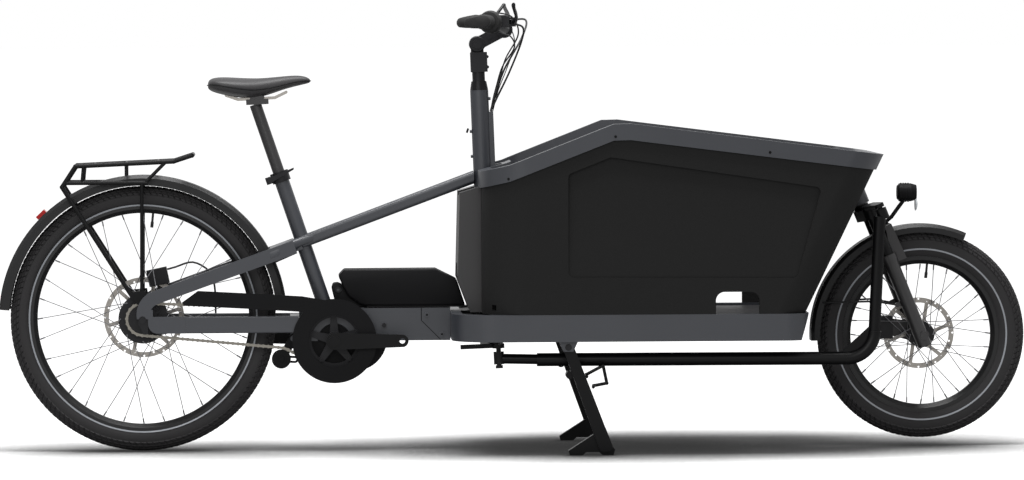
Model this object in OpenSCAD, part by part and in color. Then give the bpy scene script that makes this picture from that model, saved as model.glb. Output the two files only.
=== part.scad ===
// Front-loader cargo e-bike on its two-leg stand. Millimetres, +X forward, +Y to the rider's left, +Z up.
// Modules work from the rear axle (x = 0) and the ground (z = 0); on_origin() centres the bike.

/* [Wheels] */
// Distance between the two axles
wheelbase = 1966; // [1940:1:2000]
// Rear tyre radius
rear_r = 334.5; // [330:0.5:340]
// Rear tyre width
rear_tyre_w = 56; // [50:1:60]
// Front tyre radius
front_r = 263; // [258:0.5:266]
// Front tyre width
front_tyre_w = 58; // [50:1:60]
// Height of the front tyre above the ground on the stand
front_lift = 20; // [10:1:30]
// Rear rim inner radius
rear_rim_r = 266; // [262:1:268]
// Front rim inner radius
front_rim_r = 178; // [174:1:182]
// Radial height of a rim
rim_h = 20; // [16:1:22]
// Rim width
rim_w = 31; // [26:1:34]
// Spokes in each wheel
spoke_count = 32; // [24:4:36]
// Spoke thickness
spoke_d = 2; // [1.8:0.1:2.4]
// Rear brake disc radius
rear_disc_r = 101.5; // [95:0.5:104]
// Front brake disc radius
front_disc_r = 90; // [86:0.5:92]
// Rear hub barrel radius
rear_hub_r = 62; // [58:1:66]

/* [Drive] */
// Crank axis ahead of the rear axle
crank_x = 481; // [478:1:486]
// Crank axis height
crank_z = 279; // [275:1:283]
// Crank arm length, axis to pedal hole
crank_len = 170; // [160:1:175]
// Chainring teeth
ring_teeth = 38; // [36:1:40]
// Sprocket teeth
sprocket_teeth = 20; // [18:1:22]
// Chain pitch
pitch = 12.7; // [12.6:0.05:12.8]
// Chain line, distance from the middle plane
chain_y = 50; // [48:0.5:52]
// Chain guard ring outer radius
guard_r = 106; // [100:1:110]
// Chain guard ring inner radius
guard_in_r = 65; // [60:1:70]
// Battery length along the frame
battery_len = 292; // [280:1:294]
// Battery width
battery_w = 92; // [80:1:100]

/* [Frame] */
// Seat tube radius
seat_tube_r = 18.5; // [17.5:0.5:20]
// Seatpost radius
post_r = 15; // [13.6:0.1:15.5]
// Seat tube lean from the vertical
seat_lean = 18.7; // [18:0.1:21]
// Top tube depth
top_tube_d = 31; // [28:1:36]
// Top tube width
top_tube_w = 46; // [40:1:54]
// Stay thickness across the bike
stay_w = 15; // [12:1:18]
// Seat stay depth
seat_stay_d = 34; // [30:1:36]
// Chain stay depth
chain_stay_d = 42; // [38:1:44]
// Distance between the inner faces of the dropouts
hub_width = 135; // [134:1:142]
// Steering head tube radius
head_r = 23; // [21:0.5:25]
// Height of the top of the steering head tube
head_top = 906; // [890:1:920]

/* [Deck and box] */
// Rear end of the deck
deck_x0 = 773; // [768:1:778]
// Front end of the deck at its top edge
deck_x1 = 1662; // [1655:1:1668]
// Deck half width
deck_hw = 280; // [270:1:290]
// Deck top height
deck_top = 351; // [348:1:354]
// Deck rail height
deck_h = 67; // [60:1:69]
// Deck rail wall
deck_wall = 26; // [20:1:32]
// Rear face of the box
box_x0 = 850; // [846:1:854]
// Box wall
box_wall = 22; // [16:1:26]
// Box half width at the top
box_top_hw = 292; // [286:1:298]
// Radius of the rear corners, seen from above
rear_corner = 110; // [90:1:115]
// Radius of the front corners, seen from above
front_corner = 80; // [60:1:90]
// Depth of the box rim
rim_depth = 41; // [34:1:46]
// How far the rim stands out of the box
rim_lip = 6; // [3:0.5:8]

/* [Fork] */
// Fork lean from the vertical
fork_lean = 22; // [21:0.1:23]
// Half distance between the fork legs
leg_y = 68; // [66:0.5:72]
// Lower leg radius
leg_r = 18; // [16:0.5:19]
// Stanchion radius
stanchion_r = 14; // [13:0.5:15]
// Front hub width between the legs
front_hub_w = 98; // [94:1:99]

/* [Steering] */
// Steering column lean from the vertical
column_lean = 2.1; // [1.5:0.1:2.5]
// Sideways reach of both steering arms
arm_y = 185; // [183:1:188]
// Steering rod radius
rod_r = 16.5; // [14:0.5:18]
// Handlebar half width
bar_half = 345; // [330:1:360]

/* [Stand] */
// Half distance between the stand legs
stand_inset = 26; // [22:1:34]
// Width of a stand leg
stand_leg_w = 35; // [30:1:40]

/* [Fits] */
// Gap between pieces that are welded, bolted or glued together
seam = 0.2; // [0.1:0.05:0.4]
// Radial clearance of a bearing or a sliding fit
run_gap = 0.05; // [0.02:0.01:0.1]

/* [Hidden] */
$fn = 48;
front_z = front_r + front_lift;
guard_end_angle = 4;
rear_fender_r = rear_r + 27.5;
front_fender_r = front_r + 17;
mid_x = (wheelbase + front_r - rear_fender_r * cos(guard_end_angle)) / 2;

// Spoke lacing
rear_flange_y = 31;
rear_flange_r = rear_hub_r - 5;
front_flange_y = 30;
front_flange_r = 29;
flange_t = 3;

// Rear triangle
stay_y = hub_width / 2;
stay_slope = 19.7;
bend = [47, rear_r + 13];
bend_r = 45;
stay_top = [384, 516];
stay_split = 108;
chain_stay_z = 300;
bridge_x0 = 392;
bridge_x1 = deck_x0 - seam;
bridge_z0 = 277;
bridge_top = 359;
bridge_hw = 44.5;

// Seat tube and top tube
seat_foot = [459, bridge_top];
seat_dir = [-sin(seat_lean), cos(seat_lean)];
seat_len = 352;
head_foot = [874, 0, 240];
col_dir = [-sin(column_lean), 0, cos(column_lean)];
head_z0 = 289;
shaft_r = 15;
mast_r = 16;
top_a = [400, 524.8];
top_b = [838, 688];

// Cranks
spindle_r = 12;
crank_y0 = 90;
crank_t = 14;
guard_y = 84;

// Fork, in its own frame: origin at the front axle, z along the steering axis
leg_back = 6;
steer_back = 18;
crown_s = 322;
crown_h = 28;
head_s = crown_s + crown_h + 12;
head_len = 84;
front_head_r = 25;
lower_top_s = 222;
fork_travel = 28;
stay_eye = [-32, 96];
arch_s = front_fender_r - 1;

// Steering linkage
rear_pin = [890, -arm_y, 240];
eye = [1845, -arm_y, 602];
rod_tilt = [-3.55, -2.41, 0];
rod_z = 234;
rod_bend = 72;
upright_x = 1829;
pin_r = 6;

// Deck and box
box_z0 = deck_top + seam;
floor_t = 10;
box_top_z = 850;
box_lean = 0.48;
face_a = atan(box_lean);
front_tube_w = 62;
front_tube_d = 34;
pocket_top = 698;
rim_pts = [[800, 654], [915, 682], [1173, 783], [1215, 784], [1900, 697]];
window = [1426, 1535, 55];

// Stand
stand_x = 1060;
stand_z = 270;
stand_pin_r = 8;
stand_y = deck_hw - stand_inset;
foot = [1158, 8];

// Rear rack
rack_y = 61.5;
rack_r = 5.5;

// ---------- helpers ----------
module on_origin() { translate([-mid_x, 0, 0]) children(); }
module at_rear() { on_origin() translate([0, 0, rear_r]) children(); }
module at_front() { on_origin() translate([wheelbase, 0, front_z]) children(); }
module in_fork() { at_front() rotate([0, -fork_lean, 0]) children(); }
module both_sides() { children(); mirror([0, 1, 0]) children(); }
// A drawing in X and Z, extruded from y0 to y1
module plate(y0, y1) { translate([0, y1, 0]) rotate([90, 0, 0]) linear_extrude(y1 - y0) children(); }
module ycyl(r, y0, y1) { translate([0, y1, 0]) rotate([90, 0, 0]) cylinder(h = y1 - y0, r = r); }
module orient(v) { rotate([0, acos(v.z / norm(v)), atan2(v.y, v.x)]) children(); }
module rod(p, q, r) { translate(p) orient(q - p) cylinder(h = norm(q - p), r = r); }
module path(pts, r, knee = 0.3) {
    for (i = [0:len(pts) - 2]) rod(pts[i], pts[i + 1], r);
    for (i = [1:len(pts) - 2]) translate(pts[i]) sphere(r = r + knee);
}
module rrect(w, h, r) { offset(r) square([w - 2 * r, h - 2 * r], center = true); }
// A straight bar of section w by d between two points of the X-Z plane
module bar(p, q, w, d, r) {
    v = q - p;
    translate([p.x, 0, p.y]) rotate([0, -atan2(v.y, v.x), 0]) rotate([90, 0, 90])
        linear_extrude(norm(v)) rrect(w, d, r);
}
module slot2d(p, q, w) { hull() { translate(p) circle(d = w); translate(q) circle(d = w); } }
// A revolved profile about the Y axis: x is the radius, y the distance towards -Y
module spin(a = 360) { rotate([90, 0, 0]) rotate_extrude(angle = a, $fn = 96) children(); }

// ---------- wheels ----------
bead_hw = 14;
module tyre(r, w, seat_r) {
    spin() difference() {
        union() {
            translate([r - w / 2, 0]) circle(r = w / 2);
            polygon([[seat_r - 1, -bead_hw], [r - w / 2, -w / 2], [r - w / 2, w / 2], [seat_r - 1, bead_hw]]);
        }
        square([seat_r, w + 2], center = false);
        translate([0, -w]) square([seat_r, w + 2]);
    }
}
module rim(r_in, h, w) {
    spin() polygon([[r_in, -w / 5], [r_in + h / 2, -w / 2], [r_in + h, -w / 2],
        [r_in + h, w / 2], [r_in + h / 2, w / 2], [r_in, w / 5]]);
}
module valve(r_in) {
    rotate([0, 180 / spoke_count, 0]) {
        translate([0, 0, r_in - 22]) cylinder(h = 22.5, r = 3);
        translate([0, 0, r_in - 36]) cylinder(h = 14.5, r = 4);
    }
}
module spokes(n, fl_r, fl_y, r_in, cross, lean_off) {
    side_n = n / 2;
    for (side = [-1, 1], i = [0:side_n - 1]) {
        turn = i % 2 == 0 ? 1 : -1;
        a = i * 360 / side_n + (side > 0 ? 180 / side_n : 0);
        b = a + turn * cross * 360 / side_n;
        // an outer spoke stands off the flange, because it leans back over it
        y0 = side * (fl_y + turn * (flange_t / 2 + spoke_d / 2 + seam) + (turn > 0 ? lean_off : 0));
        p = [fl_r * cos(a), y0, fl_r * sin(a)];
        q = [(r_in - seam) * cos(b), side * 2.6, (r_in - seam) * sin(b)];
        u = (q - p) / norm(q - p);
        rod(p, q - 12 * u, spoke_d / 2);
        // elbow at the flange
        if (turn > 0) rod([p.x, side * (fl_y + flange_t / 2 + 0.1), p.z], p + [0, side * 0.6, 0],
            spoke_d * 0.8);
        rod(q - 13 * u, q - 0.6 * u, spoke_d * 0.95);
    }
}
module disc(r, y) {
    ring_w = 13;
    difference() {
        ycyl(r, y - 1, y + 1);
        ycyl(r - ring_w, y - 2, y + 2);
        for (i = [0:23]) rotate([0, i * 15, 0])
            translate([r - ring_w / 2 + (i % 2 == 0 ? 3 : -3), 0, 0]) ycyl(2.5, y - 2, y + 2);
    }
    for (i = [0:5]) rotate([0, i * 60, 0])
        plate(y - 1, y + 1) polygon([[26, -5], [26, 5], [r - ring_w + 2, 26], [r - ring_w + 2, 16]]);
    difference() {
        ycyl(30, y - 1, y + 1);
        ycyl(20 + seam, y - 2, y + 2);
    }
}

module rear_tyre() { color([0.09, 0.09, 0.09]) at_rear() tyre(rear_r, rear_tyre_w,
    rear_rim_r + rim_h + seam); }
module rear_rim() {
    color([0.07, 0.07, 0.07]) at_rear() { rim(rear_rim_r, rim_h, rim_w); valve(rear_rim_r); }
}
module rear_spokes() {
    color([0.6, 0.6, 0.62]) at_rear() spokes(spoke_count, rear_flange_r, rear_flange_y, rear_rim_r, 2, 1.4);
}
axle_r = 5;
nut_r = 9;
module rear_hub() {
    y_disc = stay_y - 14;
    color([0.14, 0.14, 0.15]) at_rear() difference() {
        union() {
            ycyl(rear_flange_r - 2, -rear_flange_y, rear_flange_y);
            both_sides() ycyl(rear_hub_r, rear_flange_y - flange_t / 2, rear_flange_y + flange_t / 2);
            ycyl(rear_hub_r - 16, -rear_flange_y - 7, rear_flange_y + 8);
            ycyl(30, rear_flange_y, y_disc - 1 - seam);
            ycyl(20, rear_flange_y, stay_y - 6);
        }
        ycyl(axle_r + run_gap, -stay_y, stay_y);
    }
}
module rear_disc() { color([0.62, 0.6, 0.58]) at_rear() disc(rear_disc_r, stay_y - 14); }

module front_tyre() { color([0.09, 0.09, 0.09]) at_front() tyre(front_r, front_tyre_w,
    front_rim_r + rim_h + seam); }
module front_rim() {
    color([0.07, 0.07, 0.07]) at_front() { rim(front_rim_r, rim_h, rim_w); valve(front_rim_r); }
}
module front_spokes() {
    color([0.6, 0.6, 0.62]) at_front() spokes(spoke_count, front_flange_r, front_flange_y, front_rim_r,
        3, 2.4);
}
front_disc_y = front_hub_w / 2 - 8;
module front_hub() {
    color([0.1, 0.1, 0.1]) at_front() difference() {
        union() {
            ycyl(14, -front_hub_w / 2 + 1, front_hub_w / 2 - 1);
            both_sides() ycyl(front_flange_r + 4, front_flange_y - flange_t / 2,
                front_flange_y + flange_t / 2);
            ycyl(26, front_flange_y + flange_t / 2 - 0.5, front_disc_y - 1 - seam);
            ycyl(20, front_flange_y, front_hub_w / 2 - 3);
        }
        ycyl(6 + run_gap, -front_hub_w, front_hub_w);
    }
}
module front_disc() { color([0.62, 0.6, 0.58]) at_front() disc(front_disc_r, front_disc_y); }

// ---------- rear frame ----------
frame_grey = [0.25, 0.255, 0.265];
module seat_stay_outline() {
    n = [-sin(stay_slope), cos(stay_slope)];
    t = [cos(stay_slope), sin(stay_slope)];
    half = seat_stay_d / 2;
    start = bend + bend_r * n;
    translate(start) rotate(stay_slope) translate([-1, -half]) square([(stay_top - start) * t, 2 * half]);
    // the bend down to the axle
    difference() {
        translate(bend) circle(r = bend_r + half, $fn = 96);
        translate(bend) circle(r = bend_r - half);
        translate(bend) rotate(stay_slope) translate([0, -200]) square([300, 400]);
        translate([bend.x - 150, chain_stay_z - 100]) square([300, 100 + rear_r + 2 - chain_stay_z]);
    }
    // rear end of the chain stay, with its rounded corner
    x0 = bend.x - bend_r + 12;
    difference() {
        translate([x0, chain_stay_z]) square([stay_split - x0, chain_stay_d]);
        difference() {
            translate([x0 - 1, chain_stay_z - 1]) square([25, 25]);
            translate([x0 + 24, chain_stay_z + 24]) circle(r = 24);
        }
    }
    translate([x0, chain_stay_z + 20]) square([12, 40]);
}
yoke = seat_stay_d - 4;
module in_yoke() { on_origin() translate([stay_top.x - 28, 0, stay_top.y - 10]) rotate([0, -stay_slope,
    0]) children(); }
module seat_stays() {
    color(frame_grey) difference() {
        union() {
            on_origin() both_sides() plate(stay_y, stay_y + stay_w) seat_stay_outline();
            // yoke that joins both stays behind the seat tube
            in_yoke() {
                translate([-14, -stay_y - 1, -yoke / 2]) cube([26, 2 * stay_y + 2, yoke]);
                translate([0, -24, -yoke / 2 + 1]) cube([90, 48, yoke - 2]);
            }
        }
        at_rear() ycyl(nut_r + seam, -200, 200);
        in_seat() cylinder(h = seat_len, r = seat_tube_r + seam);
        in_seat() translate([-5, -60, 60]) cube([100, 120, 200]);
    }
}
module chain_stays() {
    color(frame_grey) on_origin() {
        both_sides() translate([0, stay_y + stay_w / 2, 0])
            bar([stay_split + seam, chain_stay_z + chain_stay_d / 2], [bridge_x0 - seam,
                chain_stay_z + chain_stay_d / 2],
                stay_w, chain_stay_d, 3);
        translate([bridge_x0 - 22 - seam, -stay_y - 1, chain_stay_z + 1])
            cube([22, 2 * stay_y + 2, chain_stay_d - 2]);
        // lug and pin that carry the chain tensioner
        plate(-chain_y + 13, -chain_y + 20) {
            translate(tens_pivot) circle(r = 10);
            translate([tens_pivot.x - 8, tens_pivot.y]) square([16, chain_stay_z + 4 - tens_pivot.y]);
        }
        translate([tens_pivot.x, 0, tens_pivot.y]) {
            ycyl(tens_pin_r, -chain_y + 4, -chain_y + 14);
            ycyl(8, -chain_y + 2.6, -chain_y + 6.4);
        }
    }
}
module rear_axle() {
    color([0.08, 0.08, 0.08]) at_rear() {
        ycyl(axle_r, -stay_y - 12, stay_y + 12);
        both_sides() {
            plate(stay_y + 2, stay_y + 10) difference() {
                polygon([[-11, 1.8], [-11, -10], [2, -36], [13.8, -36], [13.8, 1.8]]);
                circle(r = axle_r - 1);
            }
            ycyl(nut_r, stay_y - 3, stay_y + 14);
        }
    }
}
module bridge() {
    color(frame_grey) on_origin() difference() {
        union() {
            translate([bridge_x0, -bridge_hw, bridge_z0]) cube([bridge_x1 - bridge_x0, 2 * bridge_hw,
                bridge_top - bridge_z0]);
            for (p = [[606, 316], [714, 341], [752, 292]])
                both_sides() translate([p.x, 0, p.y]) ycyl(6.5, bridge_hw - 1, bridge_hw + 3);
            // holder at the battery's rear end, with its lock
            plate(-26, 26) polygon([[502, bridge_top - 1], [479, 396], [477, 411], [482, 420], [491.5, 421],
                [501.5, 415.5], [515.2, 389.2], [545.5, 367], [560, bridge_top - 1]]);
            translate([492, 0, 405]) ycyl(7.5, -32, 0);
        }
        // the motor hangs in an open channel
        translate([bridge_x0 + 8, -bridge_hw + 6, bridge_z0 - 1]) cube([bridge_x1 - bridge_x0 - 40,
            2 * bridge_hw - 12, bridge_top - bridge_z0 - 7]);
        translate([crank_x, 0, crank_z]) ycyl(42, -bridge_hw - 1, bridge_hw + 1);
        for (p = [[714, 341], [752, 292]])
            both_sides() translate([p.x, 0, p.y]) ycyl(3, bridge_hw - 5, bridge_hw + 9);
    }
}
module motor() {
    my = bridge_hw - 6 - seam;
    color([0.1, 0.1, 0.11]) on_origin() difference() {
        union() {
            intersection() {
                plate(-my, my) union() {
                    translate([530, 284]) circle(r = 84);
                    translate([crank_x, crank_z]) circle(r = 68);
                }
                translate([bridge_x0 + 10, -100, 100]) cube([300, 200, bridge_top - 8 - 100]);
            }
            translate([crank_x, 0, crank_z]) ycyl(40, -my - 3, my + 8);
            translate([crank_x, 0, crank_z]) ycyl(22, my, stay_y + 10);
        }
        translate([crank_x, 0, crank_z]) ycyl(spindle_r + run_gap, -200, 200);
    }
}
battery_z = bridge_top + seam;
module battery() {
    x1 = 491 + battery_len;
    color([0.16, 0.16, 0.17]) on_origin() {
        plate(-battery_w / 2, battery_w / 2) offset(4) offset(-4)
            polygon([[491, 441], [506, 456], [x1 - 46, 457], [x1, 433], [x1 + 20, 372],
                [546, 368], [516, 390], [502, 416]]);
        translate([563, -battery_w / 2 + 3, battery_z]) cube([x1 - 546, battery_w - 6, 12]);
    }
}
// ---------- seat tube, top tube, head tube ----------
module in_seat() { on_origin() translate([seat_foot.x, 0, seat_foot.y]) rotate([0, -seat_lean,
    0]) children(); }
module seat_tube() {
    color(frame_grey) difference() {
        in_seat() difference() {
            translate([0, 0, -20]) cylinder(h = seat_len + 20, r = seat_tube_r);
            translate([0, 0, 40]) cylinder(h = seat_len, r = post_r + run_gap);
            translate([-30, -1, seat_len - 26]) cube([30, 2, 30]);
        }
        on_origin() translate([300, -100, 200]) cube([400, 200, bridge_top + seam - 200]);
    }
}
module top_tube() {
    color(frame_grey) difference() {
        on_origin() bar(top_a, top_b, top_tube_w, top_tube_d, 9);
        in_seat() cylinder(h = seat_len, r = seat_tube_r + seam);
        in_head(0) cylinder(h = head_top, r = head_r + seam);
        on_origin() translate([835, -60, 600]) cube([100, 120, 200]);
    }
}
// Frame of the steering head: z along the column, s = height above the lower pin's level
module in_head(s) { on_origin() translate(head_foot) rotate([0, -column_lean, 0]) translate([0, 0,
    s]) children(); }
head_s0 = (head_z0 - head_foot.z) / cos(column_lean);
head_s1 = (head_top - head_foot.z) / cos(column_lean);
module head_tube() {
    color(frame_grey) difference() {
        union() {
            in_head(head_s0) cylinder(h = head_s1 - head_s0, r = head_r);
            // bolts at the back and the cable strip in front
            for (z = [803, 740]) in_head(z - head_foot.z) rotate([0, -90, 0]) cylinder(h = head_r + 5,
                r = 4);
            in_head(884 - head_foot.z) rotate([0, 90, 0]) cylinder(h = head_r + 5, r = 4);
            in_head(712 - head_foot.z) translate([head_r - 4, -9, 0]) cube([14, 18, 139]);
        }
        in_head(head_s0 - 1) cylinder(h = head_s1 - head_s0 + 2, r = shaft_r + run_gap);
    }
}

// ---------- deck and box ----------
module corners(x0, x1, hw, r0, r1) {
    hull() {
        for (s = [-1, 1]) {
            translate([x0 + r0, s * (hw - r0)]) circle(r = r0, $fn = 96);
            translate([x1 - r1, s * (hw - r1)]) circle(r = r1, $fn = 96);
        }
    }
}
head_boss_x0 = 838;
module deck_frame() {
    color(frame_grey) on_origin() difference() {
        union() {
            translate([0, 0, deck_top - deck_h]) linear_extrude(deck_h)
                difference() {
                    corners(deck_x0, deck_x1, deck_hw, rear_corner, 60);
                    corners(deck_x0 + deck_wall, deck_x1 - 2 * deck_wall, deck_hw - deck_wall,
                        rear_corner - deck_wall, 36);
                }
            // cross beams, the first one round the steering head
            translate([head_boss_x0, -deck_hw + 10, deck_top - 50]) cube([74, 2 * deck_hw - 20, 34]);
            for (x = [1250, 1460]) translate([x, -deck_hw + 10, deck_top - 50]) cube([44,
                2 * deck_hw - 20, 34]);
            translate([stand_x - 26, -deck_hw + 10, deck_top - deck_h]) cube([52, 2 * deck_hw - 20,
                deck_h - 16]);
            // stand brackets
            both_sides() plate(stand_y - 12, stand_y - 6) stand_ear();
            both_sides() plate(stand_y + 6, stand_y + 12) stand_ear();
        }
        // slanted front end
        translate([deck_x1, -400, deck_top]) rotate([0, 18, 0]) translate([0, 0, -200]) cube([200, 800,
            260]);
        translate(head_foot) rotate([0, -column_lean, 0]) cylinder(h = 200, r = head_r + seam);
        translate([stand_x, 0, stand_z]) ycyl(stand_pin_r + run_gap, -deck_hw, deck_hw);
    }
}
module stand_ear() {
    polygon([[stand_x - 24, deck_top - deck_h + 1], [stand_x - 12, stand_z - 11], [stand_x + 12,
        stand_z - 11],
        [stand_x + 24, deck_top - deck_h + 1]]);
}
module box_floor() {
    color([0.2, 0.2, 0.2]) on_origin() difference() {
        translate([0, 0, deck_top - 16 + seam]) linear_extrude(floor_t)
            corners(deck_x0 + deck_wall + seam, deck_x1 - 2 * deck_wall - seam, deck_hw - deck_wall - seam,
                rear_corner - deck_wall, 36);
        translate([700, -70, 300]) cube([220, 140, 100]);
    }
}
// The box is lofted from its plan at the deck to its plan at the rim's highest level
module box_loft(grow, z0, z1) {
    f1 = deck_x1 - 6 + box_lean * (z1 - deck_top);
    f0 = deck_x1 - 6 + box_lean * (z0 - deck_top);
    w0 = deck_hw + (box_top_hw - deck_hw) * (z0 - deck_top) / (box_top_z - deck_top);
    w1 = deck_hw + (box_top_hw - deck_hw) * (z1 - deck_top) / (box_top_z - deck_top);
    hull() {
        translate([0, 0, z0]) linear_extrude(0.01)
            corners(box_x0 - grow, f0 + grow, w0 + grow, rear_corner + grow, front_corner + grow);
        translate([0, 0, z1 - 0.01]) linear_extrude(0.01)
            corners(box_x0 - grow, f1 + grow, w1 + grow, rear_corner + grow, front_corner + grow);
    }
}
// A point of the X-Z plane on the box's front face at height z, moved forward by d
function face_at(z, d) = [deck_x1 - 6 + box_lean * (z - deck_top), z] + d * [cos(face_a), -sin(face_a)];
module rim_line(drop) { polygon(concat([[700, 200]], [for (p = rim_pts) p + [0, drop]], [[2000, 200]])); }
// Pockets for the steering column at the back, for the front head tube and for the tube below it
module pockets(t) {
    back = -front_tube_d - seam - t;
    translate([700, -46 - t, 0]) cube([905 + t - 700, 92 + 2 * t, 1000]);
    translate([1742 - t, -44 - t, 200]) cube([300, 88 + 2 * t, pocket_top - 200 + t]);
    plate(-front_tube_w / 2 - seam - t, front_tube_w / 2 + seam + t)
        polygon([face_at(300, back), face_at(300, 80), face_at(pocket_top - 20, 80),
            face_at(pocket_top - 20, back)]);
}
module box_shell() {
    difference() {
        box_loft(0, box_z0, box_top_z);
        difference() {
            box_loft(-box_wall, box_z0 - 5, box_top_z + 5);
            pockets(box_wall);
        }
        pockets(0);
        translate([0, -400, 0]) rotate([0, 0, 0]) plate(0, 800) difference() {
            translate([600, 200]) square([1500, 900]);
            rim_line(0);
        }
        both_sides() plate(-box_top_hw - 20, -box_top_hw + 60) {
            translate([window[0] + 22, box_z0 - 2]) square([window[1] - window[0] - 44, window[2] + 2]);
            translate([window[0], box_z0 - 2]) square([window[1] - window[0], window[2] - 20]);
            for (x = [window[0] + 22, window[1] - 22]) translate([x,
                box_z0 + window[2] - 22]) circle(r = 22);
        }
    }
}
box_split = 150;
module side_recess() {
    plate(-box_top_hw - 20, -deck_hw + 1) offset(14) offset(-14)
        polygon([[1060, 444], [1060, 700], [1165, 742], [1690, 664], [1628, 440]]);
}
module box_side() {
    difference() {
        intersection() {
            box_shell();
            translate([700, -400, 300]) cube([1400, 400 - box_split - seam, 600]);
        }
        side_recess();
        // strap slot in the rear lower corner
        plate(-box_top_hw - 20, -box_split - 20) translate([box_x0 + 22, box_z0 + 10]) square([10, 14]);
    }
}
box_black = [0.17, 0.17, 0.17];
module box_side_r() { color(box_black) on_origin() box_side(); }
module box_side_l() { color(box_black) on_origin() mirror([0, 1, 0]) box_side(); }
module box_front() {
    color(box_black) on_origin() intersection() {
        box_shell();
        translate([1300, -box_split, 300]) cube([800, 2 * box_split, 600]);
    }
}
module box_rear() {
    color(box_black) on_origin() intersection() {
        box_shell();
        translate([700, -box_split, 300]) cube([400, 2 * box_split, 600]);
    }
}
module box_rim() {
    color(frame_grey) on_origin() difference() {
        box_loft(rim_lip, 600, box_top_z + rim_depth);
        difference() {
            box_loft(-box_wall - 2, 590, box_top_z + rim_depth + 10);
            translate([700, -46 - box_wall, 0]) cube([905 + box_wall - 700, 92 + 2 * box_wall, 1000]);
        }
        translate([700, -46, 0]) cube([205, 92, 1000]);
        translate([0, -400, 0]) plate(0, 800) rim_line(seam);
        translate([0, -400, 0]) plate(0, 800) difference() {
            translate([600, 200]) square([1500, 900]);
            rim_line(rim_depth);
        }
    }
}
module rear_cover() {
    cy = 120;
    t = 3;
    color([0.22, 0.22, 0.23]) on_origin() difference() {
        plate(-cy, cy) cover_outline();
        plate(-cy + t, cy - t) translate([t, -t]) cover_outline();
        translate([700, -46, 640]) cube([200, 92, 100]);
        translate([700, -battery_w / 2 - 3, 340]) cube([125, battery_w + 6, 130]);
        translate([700, -bridge_hw - 3, 300]) cube([125, 2 * bridge_hw + 6, 80]);
    }
}
module cover_outline() {
    polygon([[796, 650], [box_x0 - seam, 666], [box_x0 - seam, box_z0], [821, box_z0], [790, 433]]);
}

// ---------- front of the frame ----------
module front_head() {
    color(frame_grey) {
        difference() {
            union() {
                in_fork() translate([-steer_back, 0, head_s]) cylinder(h = head_len, r = front_head_r);
                // tube that rises from the deck in the groove of the box's front
                on_origin() bar(face_at(deck_top - 30, 2 - front_tube_d / 2), face_at(664,
                    2 - front_tube_d / 2),
                    front_tube_w, front_tube_d, 10);
                // gusset between that tube and the head
                on_origin() plate(-12, 12) polygon([face_at(560, -8), face_at(664, -8), face_at(664, 0),
                    [1822, 640], [1806, 604], face_at(560, 1)]);
            }
            in_fork() translate([-steer_back, 0, head_s - 40]) cylinder(h = head_len + 80,
                r = stanchion_r + run_gap);
            // room for the turning crown
            in_fork() translate([-steer_back - 38, -90, crown_s - 42]) cube([160, 180, crown_h + 43]);
            in_fork() translate([-steer_back, 0, crown_s]) cylinder(h = head_s - crown_s, r = 23);
            on_origin() translate([1500, -300, 200]) cube([400, 600, deck_top + seam - 200]);
            on_origin() translate([1700, -100, pocket_top - seam]) cube([300, 200, 100]);
        }
    }
}

// ---------- fork ----------
module leg_pos(s) { both_sides() translate([-leg_back, leg_y, s]) children(); }
module fork_crown() {
    color([0.08, 0.08, 0.08]) {
        in_fork() {
            difference() {
                translate([0, 0, crown_s]) linear_extrude(crown_h) {
                    hull() {
                        translate([-leg_back, leg_y]) circle(r = stanchion_r + 6);
                        translate([-steer_back, 0]) circle(r = 24);
                    }
                    hull() {
                        translate([-leg_back, -leg_y]) circle(r = stanchion_r + 6);
                        translate([-steer_back, 0]) circle(r = 24);
                    }
                }
                translate([0, 0, crown_s - 1]) leg_pos(0) cylinder(h = crown_h - 5, r = stanchion_r - 1);
            }
            leg_pos(90) cylinder(h = crown_s + crown_h - 8 - 90, r = stanchion_r);
            translate([-steer_back, 0, crown_s + 4]) cylinder(h = head_s + head_len - 1 - crown_s - 4,
                r = stanchion_r);
            translate([-steer_back, 0, crown_s + crown_h - 1]) cylinder(h = 11, r = 20);
            // steering arm on top of the right leg
            translate([0, 0, crown_s + crown_h - 1]) linear_extrude(10) hull() {
                translate([-leg_back, -leg_y]) circle(r = 16);
                translate([10, -arm_y]) circle(r = 12);
            }
            translate([10, -arm_y, crown_s + crown_h - 14]) cylinder(h = 14, r = pin_r);
        }
    }
}
module fork_lowers() {
    color([0.2, 0.205, 0.215]) in_fork() difference() {
        union() {
            leg_pos(-26) cylinder(h = lower_top_s + 26, r = leg_r);
            leg_pos(lower_top_s - 18) cylinder(h = 18, r = leg_r + 2);
            both_sides() ycyl(15, front_hub_w / 2 + 0.6, leg_y + 6);
            arch();
            ycyl(6, -leg_y - 18, leg_y + 22);
            ycyl(10, -leg_y - 24, -leg_y - 10);
            // eyes of the mudguard stays
            both_sides() {
                translate([stay_eye.x, 0, stay_eye.y]) ycyl(6, 64, 70);
                translate([stay_eye.x, 64, stay_eye.y - 6]) cube([22, 6, 12]);
            }
            // brake bracket behind the left leg
            rotate([0, fork_lean, 0]) plate(leg_y - 18, leg_y - 10)
                polygon([[-66 + seam, -8], [-20, -20], [-20, 30], [-66 + seam, 36]]);
        }
        leg_pos(90 - fork_travel - 4) cylinder(h = lower_top_s, r = stanchion_r + run_gap);
    }
}
module arch() {
    x0 = 20;
    both_sides() plate(44, 57) polygon([[x0 - 28, lower_top_s - 26], [x0 + 16, lower_top_s - 26],
        [x0 + 12, arch_s + 12],
        [x0 - 4, arch_s + 12], [x0 - 14, lower_top_s + 20]]);
    translate([x0 - 4, -45, arch_s + 2]) cube([16, 90, 10]);
}
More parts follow.
